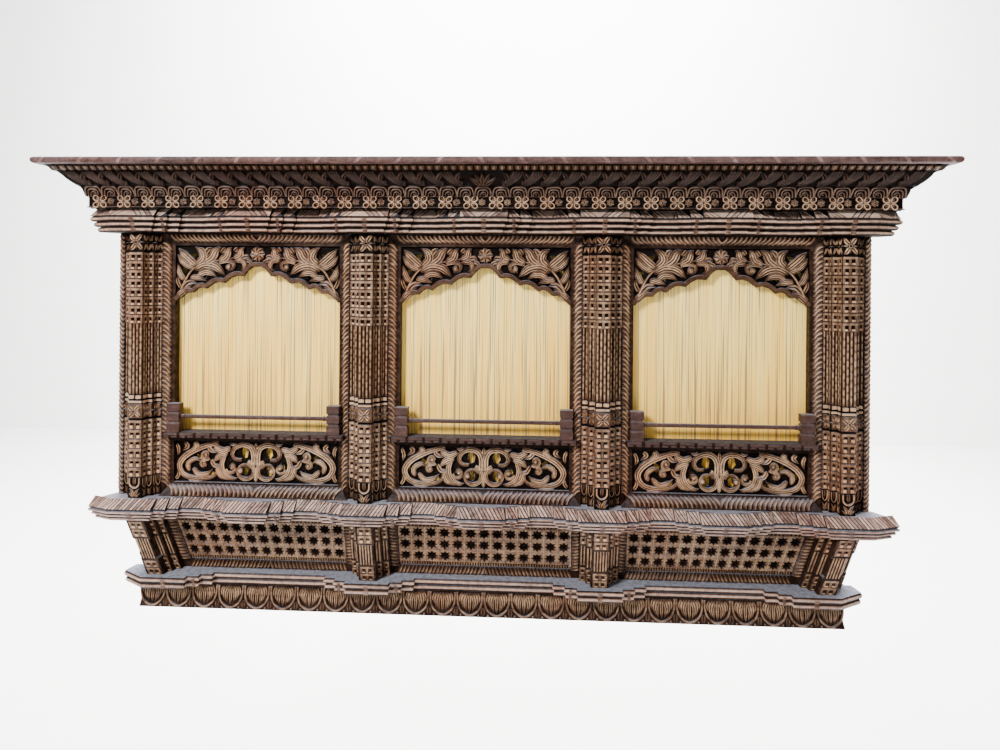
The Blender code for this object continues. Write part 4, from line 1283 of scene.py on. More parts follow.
@dataclass
class Pillars:
    """Four stepped pillars: leaf square, bead rows, boss, bead band, reeds, bead rows, flower square."""

    plan: Layout
    sunk: float = 0.0035
    leaf_square: float = 0.054
    lower_rows: int = 6
    lower_pitch: float = 0.0246
    boss_height: float = 0.052
    band_height: float = 0.015
    upper_rows: int = 8
    upper_pitch: float = 0.0232
    flower_square: float = 0.050
    tongue_pitch: float = 0.0201
    return_gap: float = 0.0035
    return_share: float = 0.40

    def section(self) -> list[Pair]:
        """Give the ground plan of a pillar, a little behind its carved faces."""
        p = self.plan
        face = p.wall_depth - self.sunk
        first, second = face - p.step_drops[0], face - p.step_drops[1]
        edge, step = p.pillar_face / 2, p.pillar_face / 2 + p.step_run
        half = [(p.pillar_half, 0.0), (p.pillar_half, -second), (step, -second), (step, -first),
                (edge, -first), (edge, -face)]
        return half + [(-x, y) for x, y in reversed(half)]

    def faces(self) -> list[Panel]:
        """Give the front face and the four step faces of a pillar at X = 0."""
        p = self.plan
        z = p.level(p.sill_top)
        rise = Vector((0.0, 0.0, p.lintel_bottom - p.sill_top))
        face = p.wall_depth - self.sunk
        return [Panel.level((start, end), face - drop, z, rise) for start, end, drop in p.step_spans]

    def returns(self) -> list[Panel]:
        """Give the narrow sides between the front face and the steps of a pillar at X = 0."""
        p = self.plan
        z = p.level(p.sill_top)
        rise = Vector((0.0, 0.0, p.lintel_bottom - p.sill_top))
        face = p.wall_depth - self.sunk
        made = []
        for number, (near, far) in enumerate(zip((0.0, *p.step_drops), p.step_drops)):
            edge = p.pillar_face / 2 + number * p.step_run
            front, back = -(face - near), -(face - far + self.return_gap)
            made.append(Panel.between(Vector((-edge, back, z)), Vector((-edge, front, z)), rise))
            made.append(Panel.between(Vector((edge, front, z)), Vector((edge, back, z)), rise))
        return made

    def leaf_cross(self, width: float, height: float, centre: bool) -> Mesh:
        """Carve leaves towards the corners of a square, round a ring or rising from its foot.

        Args:
            width: Width of the square.
            height: Height of the square.
            centre: Whether it has a ring.

        Returns:
            The motif.
        """
        work = Relief("leaf_cross")
        reach = math.hypot(width, height) / 2
        line = ((reach * 0.16, 0.0), (reach * 0.55, reach * 0.06), (reach * 0.92, 0.0))
        leaf = cut(line, 6, width * 0.34, 0.0052, Profile.VEINED, Taper.LEAF)
        slope = math.atan2(height, width)
        for turn in (slope, math.pi - slope, math.pi + slope, -slope):
            work.add(leaf, turned(turn))
        line = ((reach * 0.2, 0.0), (reach * 0.62, 0.0))
        work.add_round(cut(line, 4, width * 0.16, 0.0042, Profile.RIDGE, Taper.LEAF), 4)
        if centre:
            work.add(carved(ring(width * 0.12, width * 0.085, 0.0062, 10), 0.0055))
        return work.mesh()

    def foot_leaf(self, width: float, height: float) -> Mesh:
        """Carve a U-shaped tongue over a pair of leaves.

        Args:
            width: Width of the square.
            height: Height of the square.

        Returns:
            The motif.
        """
        work = Relief("foot_leaf")
        line = ((-width * 0.36, height * 0.94), (-width * 0.33, height * 0.62), (0.0, height * 0.46),
                (width * 0.33, height * 0.62), (width * 0.36, height * 0.94))
        work.add(cut(line, 10, width * 0.16, 0.0048, depth=0.0048))
        line = ((0.0, height * 0.93), (0.0, height * 0.60))
        work.add(cut(line, 4, width * 0.26, 0.0040, Profile.VEINED, Taper.TONGUE, 0.0048))
        for side in (-1, 1):
            line = ((side * width * 0.04, height * 0.04), (side * width * 0.12, height * 0.25),
                    (side * width * 0.38, height * 0.44))
            work.add(cut(line, 6, width * 0.24, 0.0048, Profile.VEINED, Taper.LEAF, 0.0048))
            line = ((side * width * 0.10, height * 0.03), (side * width * 0.42, height * 0.22))
            work.add(cut(line, 4, width * 0.18, 0.0040, Profile.RIDGE, Taper.LEAF, 0.0048))
        return work.mesh()

    def boss(self, width: float, wide: bool) -> Mesh:
        """Carve the rounded-square flower that stands proud halfway up.

        Args:
            width: Width of the face.
            wide: Whether it is the front face.

        Returns:
            The motif.
        """
        work = Relief("boss")
        height = self.boss_height
        block = carved(pad(width + (0.004 if wide else -0.002), height * 0.70, 0.0048, 0.0022), 0.0075, 0.15)
        work.add(block, moved(0.0, height * 0.44))
        cross = self.leaf_cross(width * 0.94, height * 0.62, wide)
        work.add(cross, moved(0.0, height * 0.44, 0.0032))
        line = carved(pad(width - 0.001, height * 0.12, 0.0044), 0.0044, 0.2)
        work.add(line, moved(0.0, height * 0.90))
        return work.mesh()

    def carve_reeds(self, work: Relief, face: Panel, reeds: int, span: Pair) -> None:
        """Carve upright reeds with rows of hanging tongues on them.

        Args:
            work: The piece in the making.
            face: The face.
            reeds: How many reeds stand side by side.
            span: Heights of their feet and heads on the face.
        """
        low, high = span
        cell = face.length / reeds
        count = round((high - low) / self.tongue_pitch)
        pitch = (high - low) / count
        reed = cut(((0.0, 0.0), (0.0, high - low)), 1, cell * 0.86, 0.0032, depth=0.0046)
        line = ((0.0, pitch * 0.99), (0.0, pitch * 0.10))
        tongue = cut(line, 4, cell * 0.84, 0.0046, Profile.RIDGE, Taper.TONGUE, 0.0046, 0.2)
        for number in range(reeds):
            across = (number + 0.5) * cell
            shift = pitch / 2 if number % 2 else 0.0
            work.add(reed, face.place(across, low))
            for step in range(count if shift == 0.0 else count - 1):
                work.add(tongue, face.place(across, low + step * pitch + shift))

    def carve_face(self, work: Relief, face: Panel, beads: int) -> None:
        """Carve one face of a pillar from its foot to its head.

        Args:
            work: The piece in the making.
            face: The face.
            beads: Beads in a row.
        """
        middle = face.length / 2
        low = self.leaf_square
        work.add(self.foot_leaf(face.length, low), face.place(middle, 0.001))
        row = bead_row(face.length, beads, self.lower_pitch, 0.33)
        for number in range(self.lower_rows):
            work.add(row, face.place(middle, low + number * self.lower_pitch))
        level = low + self.lower_rows * self.lower_pitch
        work.add(self.boss(face.length, beads > 1), face.place(middle, level))
        level += self.boss_height
        bead = carved(pad(face.length / beads - 0.003, self.band_height * 0.62, 0.0048, 0.0014), 0.0048)
        for number in range(beads):
            work.add(bead, face.place(face.length * (number + 0.5) / beads, level + self.band_height / 2))
        level += self.band_height
        head = face.height - self.flower_square - self.upper_rows * self.upper_pitch
        self.carve_reeds(work, face, 4 if beads > 1 else 2, (level, head))
        row = bead_row(face.length, beads, self.upper_pitch, 0.22)
        for number in range(self.upper_rows):
            work.add(row, face.place(middle, head + number * self.upper_pitch))
        cross = self.leaf_cross(face.length * 0.96, self.flower_square * 0.92, beads > 1)
        work.add(cross, face.place(middle, face.height - self.flower_square / 2))

    def build(self) -> None:
        """Make one pillar and set a copy at each place."""
        p = self.plan
        work = Relief("pillar")
        rows = [[Vector((x, y, p.level(z))) for x, y in self.section()]
                for z in (p.sill_top, p.lintel_bottom - p.fit)]
        # The pillar's ground is set low: painted shade in the holes between the beads and reeds.
        work.body(skin(rows), 0.06)
        for number, face in enumerate(self.faces()):
            self.carve_face(work, face, 2 if number == 0 else 1)
        for side in self.returns():
            strip = Relief("return_strip")
            flat = Panel(Vector(), Vector((1, 0, 0)), Vector((0, 1, 0)), side.length, side.height)
            self.carve_face(strip, flat, 1)
            work.add(strip.mesh(), side.place(0.0, 0.0) @ Matrix.Diagonal((1.0, 1.0, self.return_share, 1.0)))
        shape = work.mesh()
        for number, x in enumerate(p.pillar_x, 1):
            copy = shape.copy()
            copy.transform(moved(x, 0.0))
            show(f"carved_pillar_{number}", copy, UPRIGHT.material(), [f"pillar_{number}"], "carved_wood")


@dataclass(frozen=True)
class Stroke:
    """One carved ribbon of a spray or scroll, drawn through points in millimetres."""

    points: tuple[Pair, ...]
    width: float
    profile: Profile = Profile.FLUTED
    taper: Taper = Taper.LEAF
    height: float = 10.0
    steps: int = 12

    def motif(self, fuller: float = 1.0, worn_highlight: float = 0.92) -> Mesh:
        """Carve it at full size in metres, a little fuller or lighter on its crest where asked.

        Args:
            fuller: Scale of its width.
            worn_highlight: Level of its crest, wear with a painted highlight.

        Returns:
            The motif.
        """
        line = [point * MILLIMETRE for point in smooth_path(self.points, self.steps)]
        width, height = self.width * MILLIMETRE * fuller, self.height * MILLIMETRE
        # Its foot is painted shade, its crest wear with a painted highlight.
        return carved(ribbon(line, width, height, self.profile, self.taper), height, 0.03, worn_highlight)


def curl(centre: Pair, outer: float, inner: float, start: float, sweep: float) -> tuple[Pair, ...]:
    """Give the points of a spiral.

    Args:
        centre: Its eye.
        outer: Radius at its start.
        inner: Radius at its end.
        start: Angle of its start in degrees.
        sweep: How far it turns in degrees, against the clock where positive.

    Returns:
        The points from its start to its end.
    """
    steps = max(3, round(abs(sweep) / 30))
    line = arc_path(centre, (outer, inner), (math.radians(start), math.radians(start + sweep)), steps)
    return tuple((point.x, point.y) for point in line)


def flattened(node: Object, front: float, back: float) -> BMesh:
    """Copy a packed board with its piercings, its carving cut down to a flat ground.

    Args:
        node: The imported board.
        front: Y of the ground that is wanted.
        back: Y of the board's back.

    Returns:
        The thinner board.
    """
    form = bmesh.new()
    form.from_mesh(node.data)
    form.transform(node.matrix_world)
    for vert in form.verts:
        if vert.co.y < back - 0.001:
            vert.co.y = front
    bmesh.ops.remove_doubles(form, verts=form.verts[:], dist=MERGE)
    bmesh.ops.dissolve_degenerate(form, edges=form.edges[:], dist=MERGE)
    return form


def keep(nodes: dict[str, Object], names: Sequence[str], material: Material) -> None:
    """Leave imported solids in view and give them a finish.

    Args:
        nodes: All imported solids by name.
        names: The ones to keep.
        material: Their finish.
    """
    for name in names:
        nodes[name].material_slots[0].material = material
        LOG.info("%s: packed solid kept", name)


def drilled_eye() -> Mesh:
    """Carve a small drilled hole: a raised rim round a low dome painted in the darkest shade, standing for
    the hole.
    """
    work = Relief("drilled_eye")
    work.add(carved(ring(0.0027, 0.0014, 0.0058, 8), 0.0058, 0.3, 0.6))
    work.add(carved(button(0.0023, 0.0048, 8), 0.0048, 0.0, 0.0))
    return work.mesh()


class Mirror(Enum):
    """Which leaves of a rope moulding are mirrored."""

    NONE = "none"
    ALL = "all"
    FIRST_HALF = "first half"
    SECOND_HALF = "second half"

    def flips(self, past_middle: bool) -> bool:
        """Tell whether a leaf before or past the middle is mirrored.

        Args:
            past_middle: Whether the leaf is past the middle.

        Returns:
            Whether it is mirrored.
        """
        if self in (Mirror.NONE, Mirror.ALL):
            return self is Mirror.ALL
        return past_middle == (self is Mirror.SECOND_HALF)


def lay_rope(work: Relief, panel: Panel, leaf: Mesh, pitch: float, margin: float, mirror: Mirror) -> None:
    """Set a leaf all along one moulding, clear of its mitres.

    Args:
        work: The piece in the making.
        panel: The moulding's face.
        leaf: The leaf's motif.
        pitch: Distance from leaf to leaf.
        margin: Length left free at each end.
        mirror: Which leaves are mirrored.
    """
    for spot in panel.spots(pitch):
        if margin < spot < panel.length - margin:
            flip = mirror.flips(spot > panel.length / 2)
            work.add(leaf, panel.place(spot, 0.0, CHANCE.uniform(-SWAY, SWAY), 1.0, flip))


def lay_eyes(work: Relief, panel: Panel, eye: Mesh, pitch: float, margin: float) -> None:
    """Set drilled eyes low along one moulding, further from its mitres than the leaves.

    Args:
        work: The piece in the making.
        panel: The moulding's face.
        eye: The eye's motif.
        pitch: Distance from leaf to leaf.
        margin: Length that the leaves leave free.
    """
    for spot in panel.spots(EYE_SPACING * pitch):
        if 2 * margin < spot < panel.length - 2 * margin:
            work.add(eye, panel.place(spot, panel.height * EYE_HEIGHT))


@dataclass
class RopeFrames:
    """Twisted-leaf carving laid on the splayed frames of the bays and on the two side strips."""

    plan: Layout
    nodes: dict[str, Object]
    side_front: float = 0.109
    inner_front: float = 0.100
    strip_end: float = 0.970
    strip_margin: float = 0.004
    pitch: float = 0.0120
    eye: Mesh = field(default_factory=drilled_eye)

    def stroke(self, reach: float) -> Mesh:
        """Carve one crescent of the rope across a moulding of the given width.

        Args:
            reach: Width of the moulding.

        Returns:
            The crescent.
        """
        half = self.pitch / 2
        line = ((-half * 1.25, reach * 0.04), (-half * 0.95, reach * 0.36), (half * 0.10, reach * 0.66),
                (half * 1.35, reach * 0.80), (half * 1.70, reach * 0.96))
        return cut(line, 8, self.pitch * 0.98, 0.0048, Profile.SCALE, Taper.SCROLL, 0.0048, 0.06, 0.86)

    def carve_bay(self, number: int, x: float) -> None:
        """Carve the four mouldings of one bay.

        Args:
            number: The bay, counted from 1.
            x: Its middle.
        """
        p = self.plan
        half, low, high = p.bay_half - p.fit, p.level(p.sill_top), p.level(p.lintel_bottom - p.fit)
        y, drop, step = -self.side_front, self.side_front - self.inner_front, p.splay
        foot_drop = p.foot_reach - self.inner_front
        slope = Vector((0.0, foot_drop, p.foot_splay))
        foot = Panel.level((x - half, x + half), p.foot_reach, low, slope)
        low_right, high_right = Vector((x + half, y, low)), Vector((x + half, y, high))
        low_left, high_left = Vector((x - half, y, low)), Vector((x - half, y, high))
        right = Panel.between(low_right, high_right, Vector((-step, drop, 0.0)))
        head = Panel.between(high_right, high_left, Vector((0.0, drop, -step)))
        left = Panel.between(high_left, low_left, Vector((step, drop, 0.0)))
        work = Relief(f"frame_carving_{number}")
        side, sill = self.stroke(right.height), self.stroke(foot.height)
        margin = p.splay * 0.95
        for panel, leaf, mirror in ((right, side, Mirror.ALL), (left, side, Mirror.NONE),
                                    (head, side, Mirror.SECOND_HALF), (foot, sill, Mirror.FIRST_HALF)):
            lay_rope(work, panel, leaf, self.pitch, margin, mirror)
        lay_eyes(work, foot, self.eye, self.pitch, margin)
        work.finish(CARVED)
        names = [f"frame_{part}_{number}" for part in ("head", "foot", "jamb_left", "jamb_right")]
        keep(self.nodes, names, FLAT_WOOD.material())

    def carve_strips(self) -> None:
        """Carve the strips on the outer sides of the end pillars."""
        p = self.plan
        inner = max(p.pillar_x) + p.pillar_half + self.plan.fit
        low, high = p.level(p.sill_top), p.level(p.lintel_bottom - self.plan.fit)
        out = self.strip_end - inner
        drop = self.side_front - self.inner_front
        y = -self.side_front
        left = Panel.between(Vector((-inner, y, low)), Vector((-inner, y, high)), Vector((-out, drop, 0.0)))
        right = Panel.between(Vector((inner, y, high)), Vector((inner, y, low)), Vector((out, drop, 0.0)))
        for name, panel, mirror in (("left", left, Mirror.NONE), ("right", right, Mirror.ALL)):
            work = Relief(f"strip_carving_{name}")
            lay_rope(work, panel, self.stroke(panel.height), self.pitch, self.strip_margin, mirror)
            work.finish(CARVED)
            keep(self.nodes, [f"side_strip_{name}"], FLAT_WOOD.material())

    def build(self) -> None:
        """Carve every frame and both strips."""
        for number, x in enumerate(self.plan.bay_x, 1):
            self.carve_bay(number, x)
        self.carve_strips()


SPRAY = (
    Stroke(((6, 140), (24, 96), (45, 64), (76, 46), (117, 39), (158, 32), (190, 33)), 6,
           Profile.ROUND, Taper.STEM, 9, 24),
    Stroke(((56, 53), (36, 37), (20, 22), (7, 8)), 18, height=11),
    Stroke(((52, 60), (30, 52), (14, 38), (4, 24)), 13, height=10),
    Stroke(((57, 50), (74, 34), (70, 16), (52, 4)), 19, height=12),
    Stroke(((76, 47), (98, 32), (108, 14), (124, 4)), 20, height=12),
    Stroke(((80, 26), (86, 12), (98, 5)), 11, Profile.VEINED, height=9),
    Stroke(((117, 40), (136, 30), (142, 14), (152, 4)), 17, height=12),
    Stroke(((122, 20), (130, 10), (134, 4)), 9, Profile.VEINED, height=9),
    Stroke(((156, 33), (172, 26), (176, 12), (186, 4)), 15, height=11),
    Stroke(((158, 16), (163, 9), (168, 4)), 9, Profile.VEINED, height=9),
    Stroke(((178, 32), (190, 29), (200, 33)), 11, Profile.VEINED, height=9),
    Stroke(((52, 64), (78, 50), (106, 54), (122, 66), (134, 78)), 18, height=12),
    Stroke(((60, 82), (76, 70), (96, 72), (112, 84)), 14, height=10),
    Stroke(((118, 43), (140, 40), (156, 47), (154, 60), (144, 64), (136, 58)), 10,
           Profile.GROOVED, Taper.STEM, 10, 16),
    Stroke(((158, 41), (176, 38), (186, 46), (184, 60), (172, 66)), 12, height=11),
    Stroke(((188, 38), (200, 42), (206, 50)), 9, Profile.VEINED, height=8),
    Stroke(((40, 88), (58, 84), (84, 94)), 13, height=11),
    Stroke(((20, 112), (36, 98), (58, 100)), 12, Profile.VEINED, height=10),
    Stroke(((6, 136), (20, 122), (44, 106)), 15, height=11),
    Stroke(((24, 92), (12, 74), (5, 48)), 13, height=10),
    Stroke(((14, 112), (6, 96), (4, 80)), 9, Profile.VEINED, height=8),
)


@dataclass
class ArchBoards:
    """Cusped boards in the heads of the bays, with a leaf spray each side of a rosette."""

    plan: Layout
    nodes: dict[str, Object]
    spring_drop: float = 0.148
    apex_drop: float = 0.054
    cusps: tuple[Pair, ...] = ((0.18, 0.080), (0.41, 0.098), (0.63, 0.113), (0.79, 0.124))
    foil_rise: float = 0.009
    ground: float = 0.0925
    back: float = 0.085
    rosette_drop: float = 0.022
    band_width: float = 0.0120
    knob_place: Pair = (0.1425, 0.0560)

    def edge(self) -> list[Vector]:
        """Give the lower edge from the left spring to the right, from the opening's top middle."""
        half = self.plan.open_half
        marks = [(-half, -self.spring_drop)]
        marks += [(-half * share, -drop) for share, drop in reversed(self.cusps)]
        marks.append((0.0, -self.apex_drop))
        line = []
        for (x0, z0), (x1, z1) in zip(marks, marks[1:]):
            for step in range(8):
                share = step / 8
                rise = self.foil_rise * 4 * share * (1 - share)
                line.append(Vector((x0 + (x1 - x0) * share, z0 + (z1 - z0) * share + rise)))
        mirrored = [Vector((-point.x, point.y)) for point in reversed(line)]
        return line + [Vector((0.0, -self.apex_drop))] + mirrored

    def rosette(self) -> Mesh:
        """Carve the round flower at the head of the arch."""
        work = Relief("rosette")
        line = ((0.0045, 0.0), (0.0125, 0.001), (0.0200, 0.0))
        work.add_round(cut(line, 7, 0.0140, 0.0095, Profile.VEINED, Taper.TONGUE, 0.010), 8)
        line = ((0.003, 0.0), (0.0105, 0.0))
        work.add_round(cut(line, 5, 0.0062, 0.0125, Profile.RIDGE, Taper.TONGUE, 0.013), 8, 0.5)
        work.add(carved(button(0.0052, 0.0142, 12), 0.014))
        return work.mesh()

    def build(self) -> None:
        """Make one board's carving and set it in each bay."""
        p = self.plan
        leaves = Relief("spray")
        for stroke in SPRAY:
            leaf = stroke.motif(1.28)
            for side in (-1, 1):
                leaves.add(leaf, moved(side * -p.open_half, 0.0) @ Matrix.Diagonal((side, -1.0, 1.0, 1.0)))
        knob = carved(button(0.0085, 0.0115, 12), 0.012)
        eye = carved(ring(0.0060, 0.0030, 0.0130, 12), 0.013)
        for side in (-1, 1):
            place = moved(side * (p.open_half - self.knob_place[0]), -self.knob_place[1])
            leaves.add(knob, place)
            leaves.add(eye, place)
        inward = [point + Vector((0.0, self.band_width * 0.42)) for point in self.edge()]
        leaves.add(carved(ribbon(inward, self.band_width, 0.0105, Profile.FLAT), 0.011, 0.10, 0.52))
        leaves.add(self.rosette(), moved(0.0, -self.rosette_drop))
        spray = leaves.mesh()
        top = p.level(p.open_top)
        for number, x in enumerate(p.bay_x, 1):
            work = Relief(f"arch_board_{number}")
            # The board's ground is painted near its darkest, as shade showing between the leaves.
            work.body(flattened(self.nodes[f"spandrel_{number}"], -self.ground, -self.back), 0.02)
            work.add(spray, front_place(x, self.ground, top))
            work.finish(CARVED, [f"spandrel_{number}"])


SCROLLS = (
    Stroke(((-4, 46), (-4, 74), (-13, 94), (-35, 101), (-57, 92), (-64, 74), (-54, 61), (-38, 60)), 17,
           Profile.GROOVED, Taper.STEM, 10, 34),
    Stroke(curl((-29, 31), 25, 15, 75, -410), 12, Profile.GROOVED, Taper.STEM, 9, 38),
    Stroke(((-82, 76), (-92, 50), (-84, 22), (-62, 10), (-50, 12)), 13, Profile.GROOVED, Taper.LEAF, 9, 18),
    Stroke(curl((-66, 38), 15, 6, 190, 330), 9, Profile.GROOVED, Taper.STEM, 10, 24),
    Stroke(((-100, 105), (-136, 96), (-173, 80), (-197, 62), (-206, 40), (-190, 16), (-152, 8), (-115, 15),
            (-97, 38)), 15, Profile.GROOVED, Taper.SCROLL, 9, 40),
    Stroke(curl((-134, 72), 12, 4, 320, -430), 9, Profile.GROOVED, Taper.STEM, 10, 26),
    Stroke(curl((-140, 48), 11, 4, 60, 400), 8, Profile.GROOVED, Taper.STEM, 10, 24),
    Stroke(((-179, 28), (-182, 48), (-165, 60), (-146, 54)), 12, height=9, steps=14),
    Stroke(((-170, 36), (-152, 19), (-130, 22), (-116, 34)), 13, height=9, steps=14),
    Stroke(((-166, 106), (-160, 94), (-186, 76)), 14, height=9, steps=12),
    Stroke(((-192, 104), (-184, 94), (-200, 80)), 11, Profile.VEINED, height=8, steps=10),
    Stroke(((-76, 77), (-98, 70), (-116, 52)), 15, height=10, steps=12),
    Stroke(((-68, 92), (-88, 84), (-106, 92), (-110, 103)), 15, height=10, steps=14),
    Stroke(((-120, 60), (-110, 44), (-92, 44)), 11, Profile.VEINED, height=9, steps=10),
    Stroke(((-104, 42), (-96, 20), (-72, 6)), 14, height=9, steps=12),
    Stroke(((-128, 94), (-120, 84), (-104, 78)), 11, Profile.VEINED, height=9, steps=10),
    Stroke(((-214, 100), (-208, 84), (-212, 66)), 9, Profile.VEINED, height=8, steps=8),
    Stroke(((-216, 6), (-208, 18), (-210, 32)), 9, Profile.VEINED, height=8, steps=8),
    Stroke(((-182, 5), (-160, 2), (-140, 4)), 7, Profile.VEINED, height=8, steps=8),
    Stroke(((-52, 104), (-62, 100), (-74, 105)), 8, Profile.VEINED, height=8, steps=8),
    Stroke(((0, 3), (0, 24), (0, 46)), 9, height=9, steps=8),
    Stroke(((0, 86), (0, 98), (0, 108)), 8, Profile.VEINED, height=9, steps=6),
)
KNOBS = ((-42.0, 31.0, 9.0), (-64.0, 39.0, 6.5), (-134.0, 72.0, 6.0), (-140.0, 48.0, 5.5))


@dataclass
class Rails:
    """Pierced scroll boards with the lip, posts and rod that stand over them."""

    plan: Layout
    nodes: dict[str, Object]
    ground: float = 0.0915
    board_back: float = 0.084
    open_bottom: float = 0.341
    post_width: float = 0.033
    post_depth: float = 0.027
    post_back: float = 0.100
    rod_radius: float = 0.0055
    rod_rise: float = 0.040
    lip_height: float = 0.015
    lip_back: float = 0.109
    lip_reach: float = 0.018
    lip_overlap: float = 0.011
    notch_pitch: float = 0.044

    def scrolls(self) -> Mesh:
        """Carve both halves of the scrollwork, from the board's lower middle."""
        work = Relief("scrollwork")
        for stroke in SCROLLS:
            motif = stroke.motif(1.12, 1.06)
            for side in (-1, 1):
                work.add(motif, Matrix.Diagonal((side, 1.0, 1.0, 1.0)))
        for x, z, radius in KNOBS:
            knob = carved(button(radius * MILLIMETRE, 0.0095, 12), 0.0095)
            for side in (-1, 1):
                work.add(knob, moved(side * x * MILLIMETRE, z * MILLIMETRE))
        return work.mesh()

    def rod(self, number: int, x: float) -> None:
        """Turn one rail rod with a ring near each end.

        Args:
            number: The bay, counted from 1.
            x: Its middle.
        """
        p = self.plan
        half = p.open_half + p.fillet - self.plan.fit - self.post_width - self.plan.fit
        y = -(self.post_back + self.post_depth / 2)
        z = p.level(p.lip_top + self.rod_rise)
        r = self.rod_radius
        turning = [(-half, r), (-half + 0.006, r), (-half + 0.007, r + 0.0012), (-half + 0.010, r + 0.0012),
                   (-half + 0.011, r - 0.0008), (-half + 0.014, r - 0.0002)]
        turning += [(0.0, r - 0.0002)] + [(-place, radius) for place, radius in reversed(turning)]
        angles = [math.tau * step / 20 for step in range(20)]
        rows = [[Vector((x + place, y + radius * math.cos(a), z + radius * math.sin(a))) for a in angles]
                for place, radius in turning]
        work = Relief(f"turned_rod_{number}")
        work.body(skin(rows), 0.45)
        work.finish(RAIL_WOOD, [f"rail_rod_{number}"])

    def notches(self, number: int, x: float) -> None:
        """Set small stepped pads along the lip's front edge.

        Args:
            number: The bay, counted from 1.
            x: Its middle.
        """
        p = self.plan
        half = p.open_half + p.fillet + self.lip_overlap
        front = self.lip_back + p.fit + self.lip_reach - 0.0006
        z = p.level(p.lip_top - self.lip_height)
        work = Relief(f"lip_carving_{number}")
        face = Panel.level((x - half, x + half), front, z, Vector((0, 0, self.lip_height)))
        wide = carved(pad(self.notch_pitch - 0.0075, 0.0065, 0.0020, 0.0008), 0.003, 0.3, 0.8)
        low = carved(pad(0.0150, 0.0042, 0.0018, 0.0008), 0.003, 0.3, 0.8)
        for spot in face.spots(self.notch_pitch):
            work.add(wide, face.place(spot, self.lip_height * 0.68))
        for spot in face.spots(self.notch_pitch / 2):
            work.add(low, face.place(spot, self.lip_height * 0.22))
        work.finish(RAIL_WOOD)

    def build(self) -> None:
        """Make the boards, rods and lips of every bay and finish the posts."""
        p = self.plan
        scrollwork = self.scrolls()
        for number, x in enumerate(p.bay_x, 1):
            work = Relief(f"scroll_board_{number}")
            # The board's ground is painted near its darkest, as shade showing between the scrolls.
            work.body(flattened(self.nodes[f"scroll_panel_{number}"], -self.ground, -self.board_back), 0.04)
            work.add(scrollwork, front_place(x, self.ground, p.level(self.open_bottom)))
            work.finish(CARVED, [f"scroll_panel_{number}"])
            self.rod(number, x)
            self.notches(number, x)
            keep(self.nodes, [f"rail_post_left_{number}", f"rail_post_right_{number}"], RAIL_WOOD.material())
            keep(self.nodes, [f"rail_lip_{number}"], LIP_WOOD.material())


CORNERS = ((-1, False), (1, False), (1, True), (-1, True))


def spot_on(corners: Sequence[Vector], along: float, rise: float) -> Vector:
    """Give a place on a four-cornered board.

    Args:
        corners: Its corners, round from the lower left.
        along: Share of the way from left to right.
        rise: Share of the way up.

    Returns:
        The place.
    """
    low_left, low_right, high_right, high_left = corners
    return low_left.lerp(high_left, rise).lerp(low_right.lerp(high_right, rise), along)


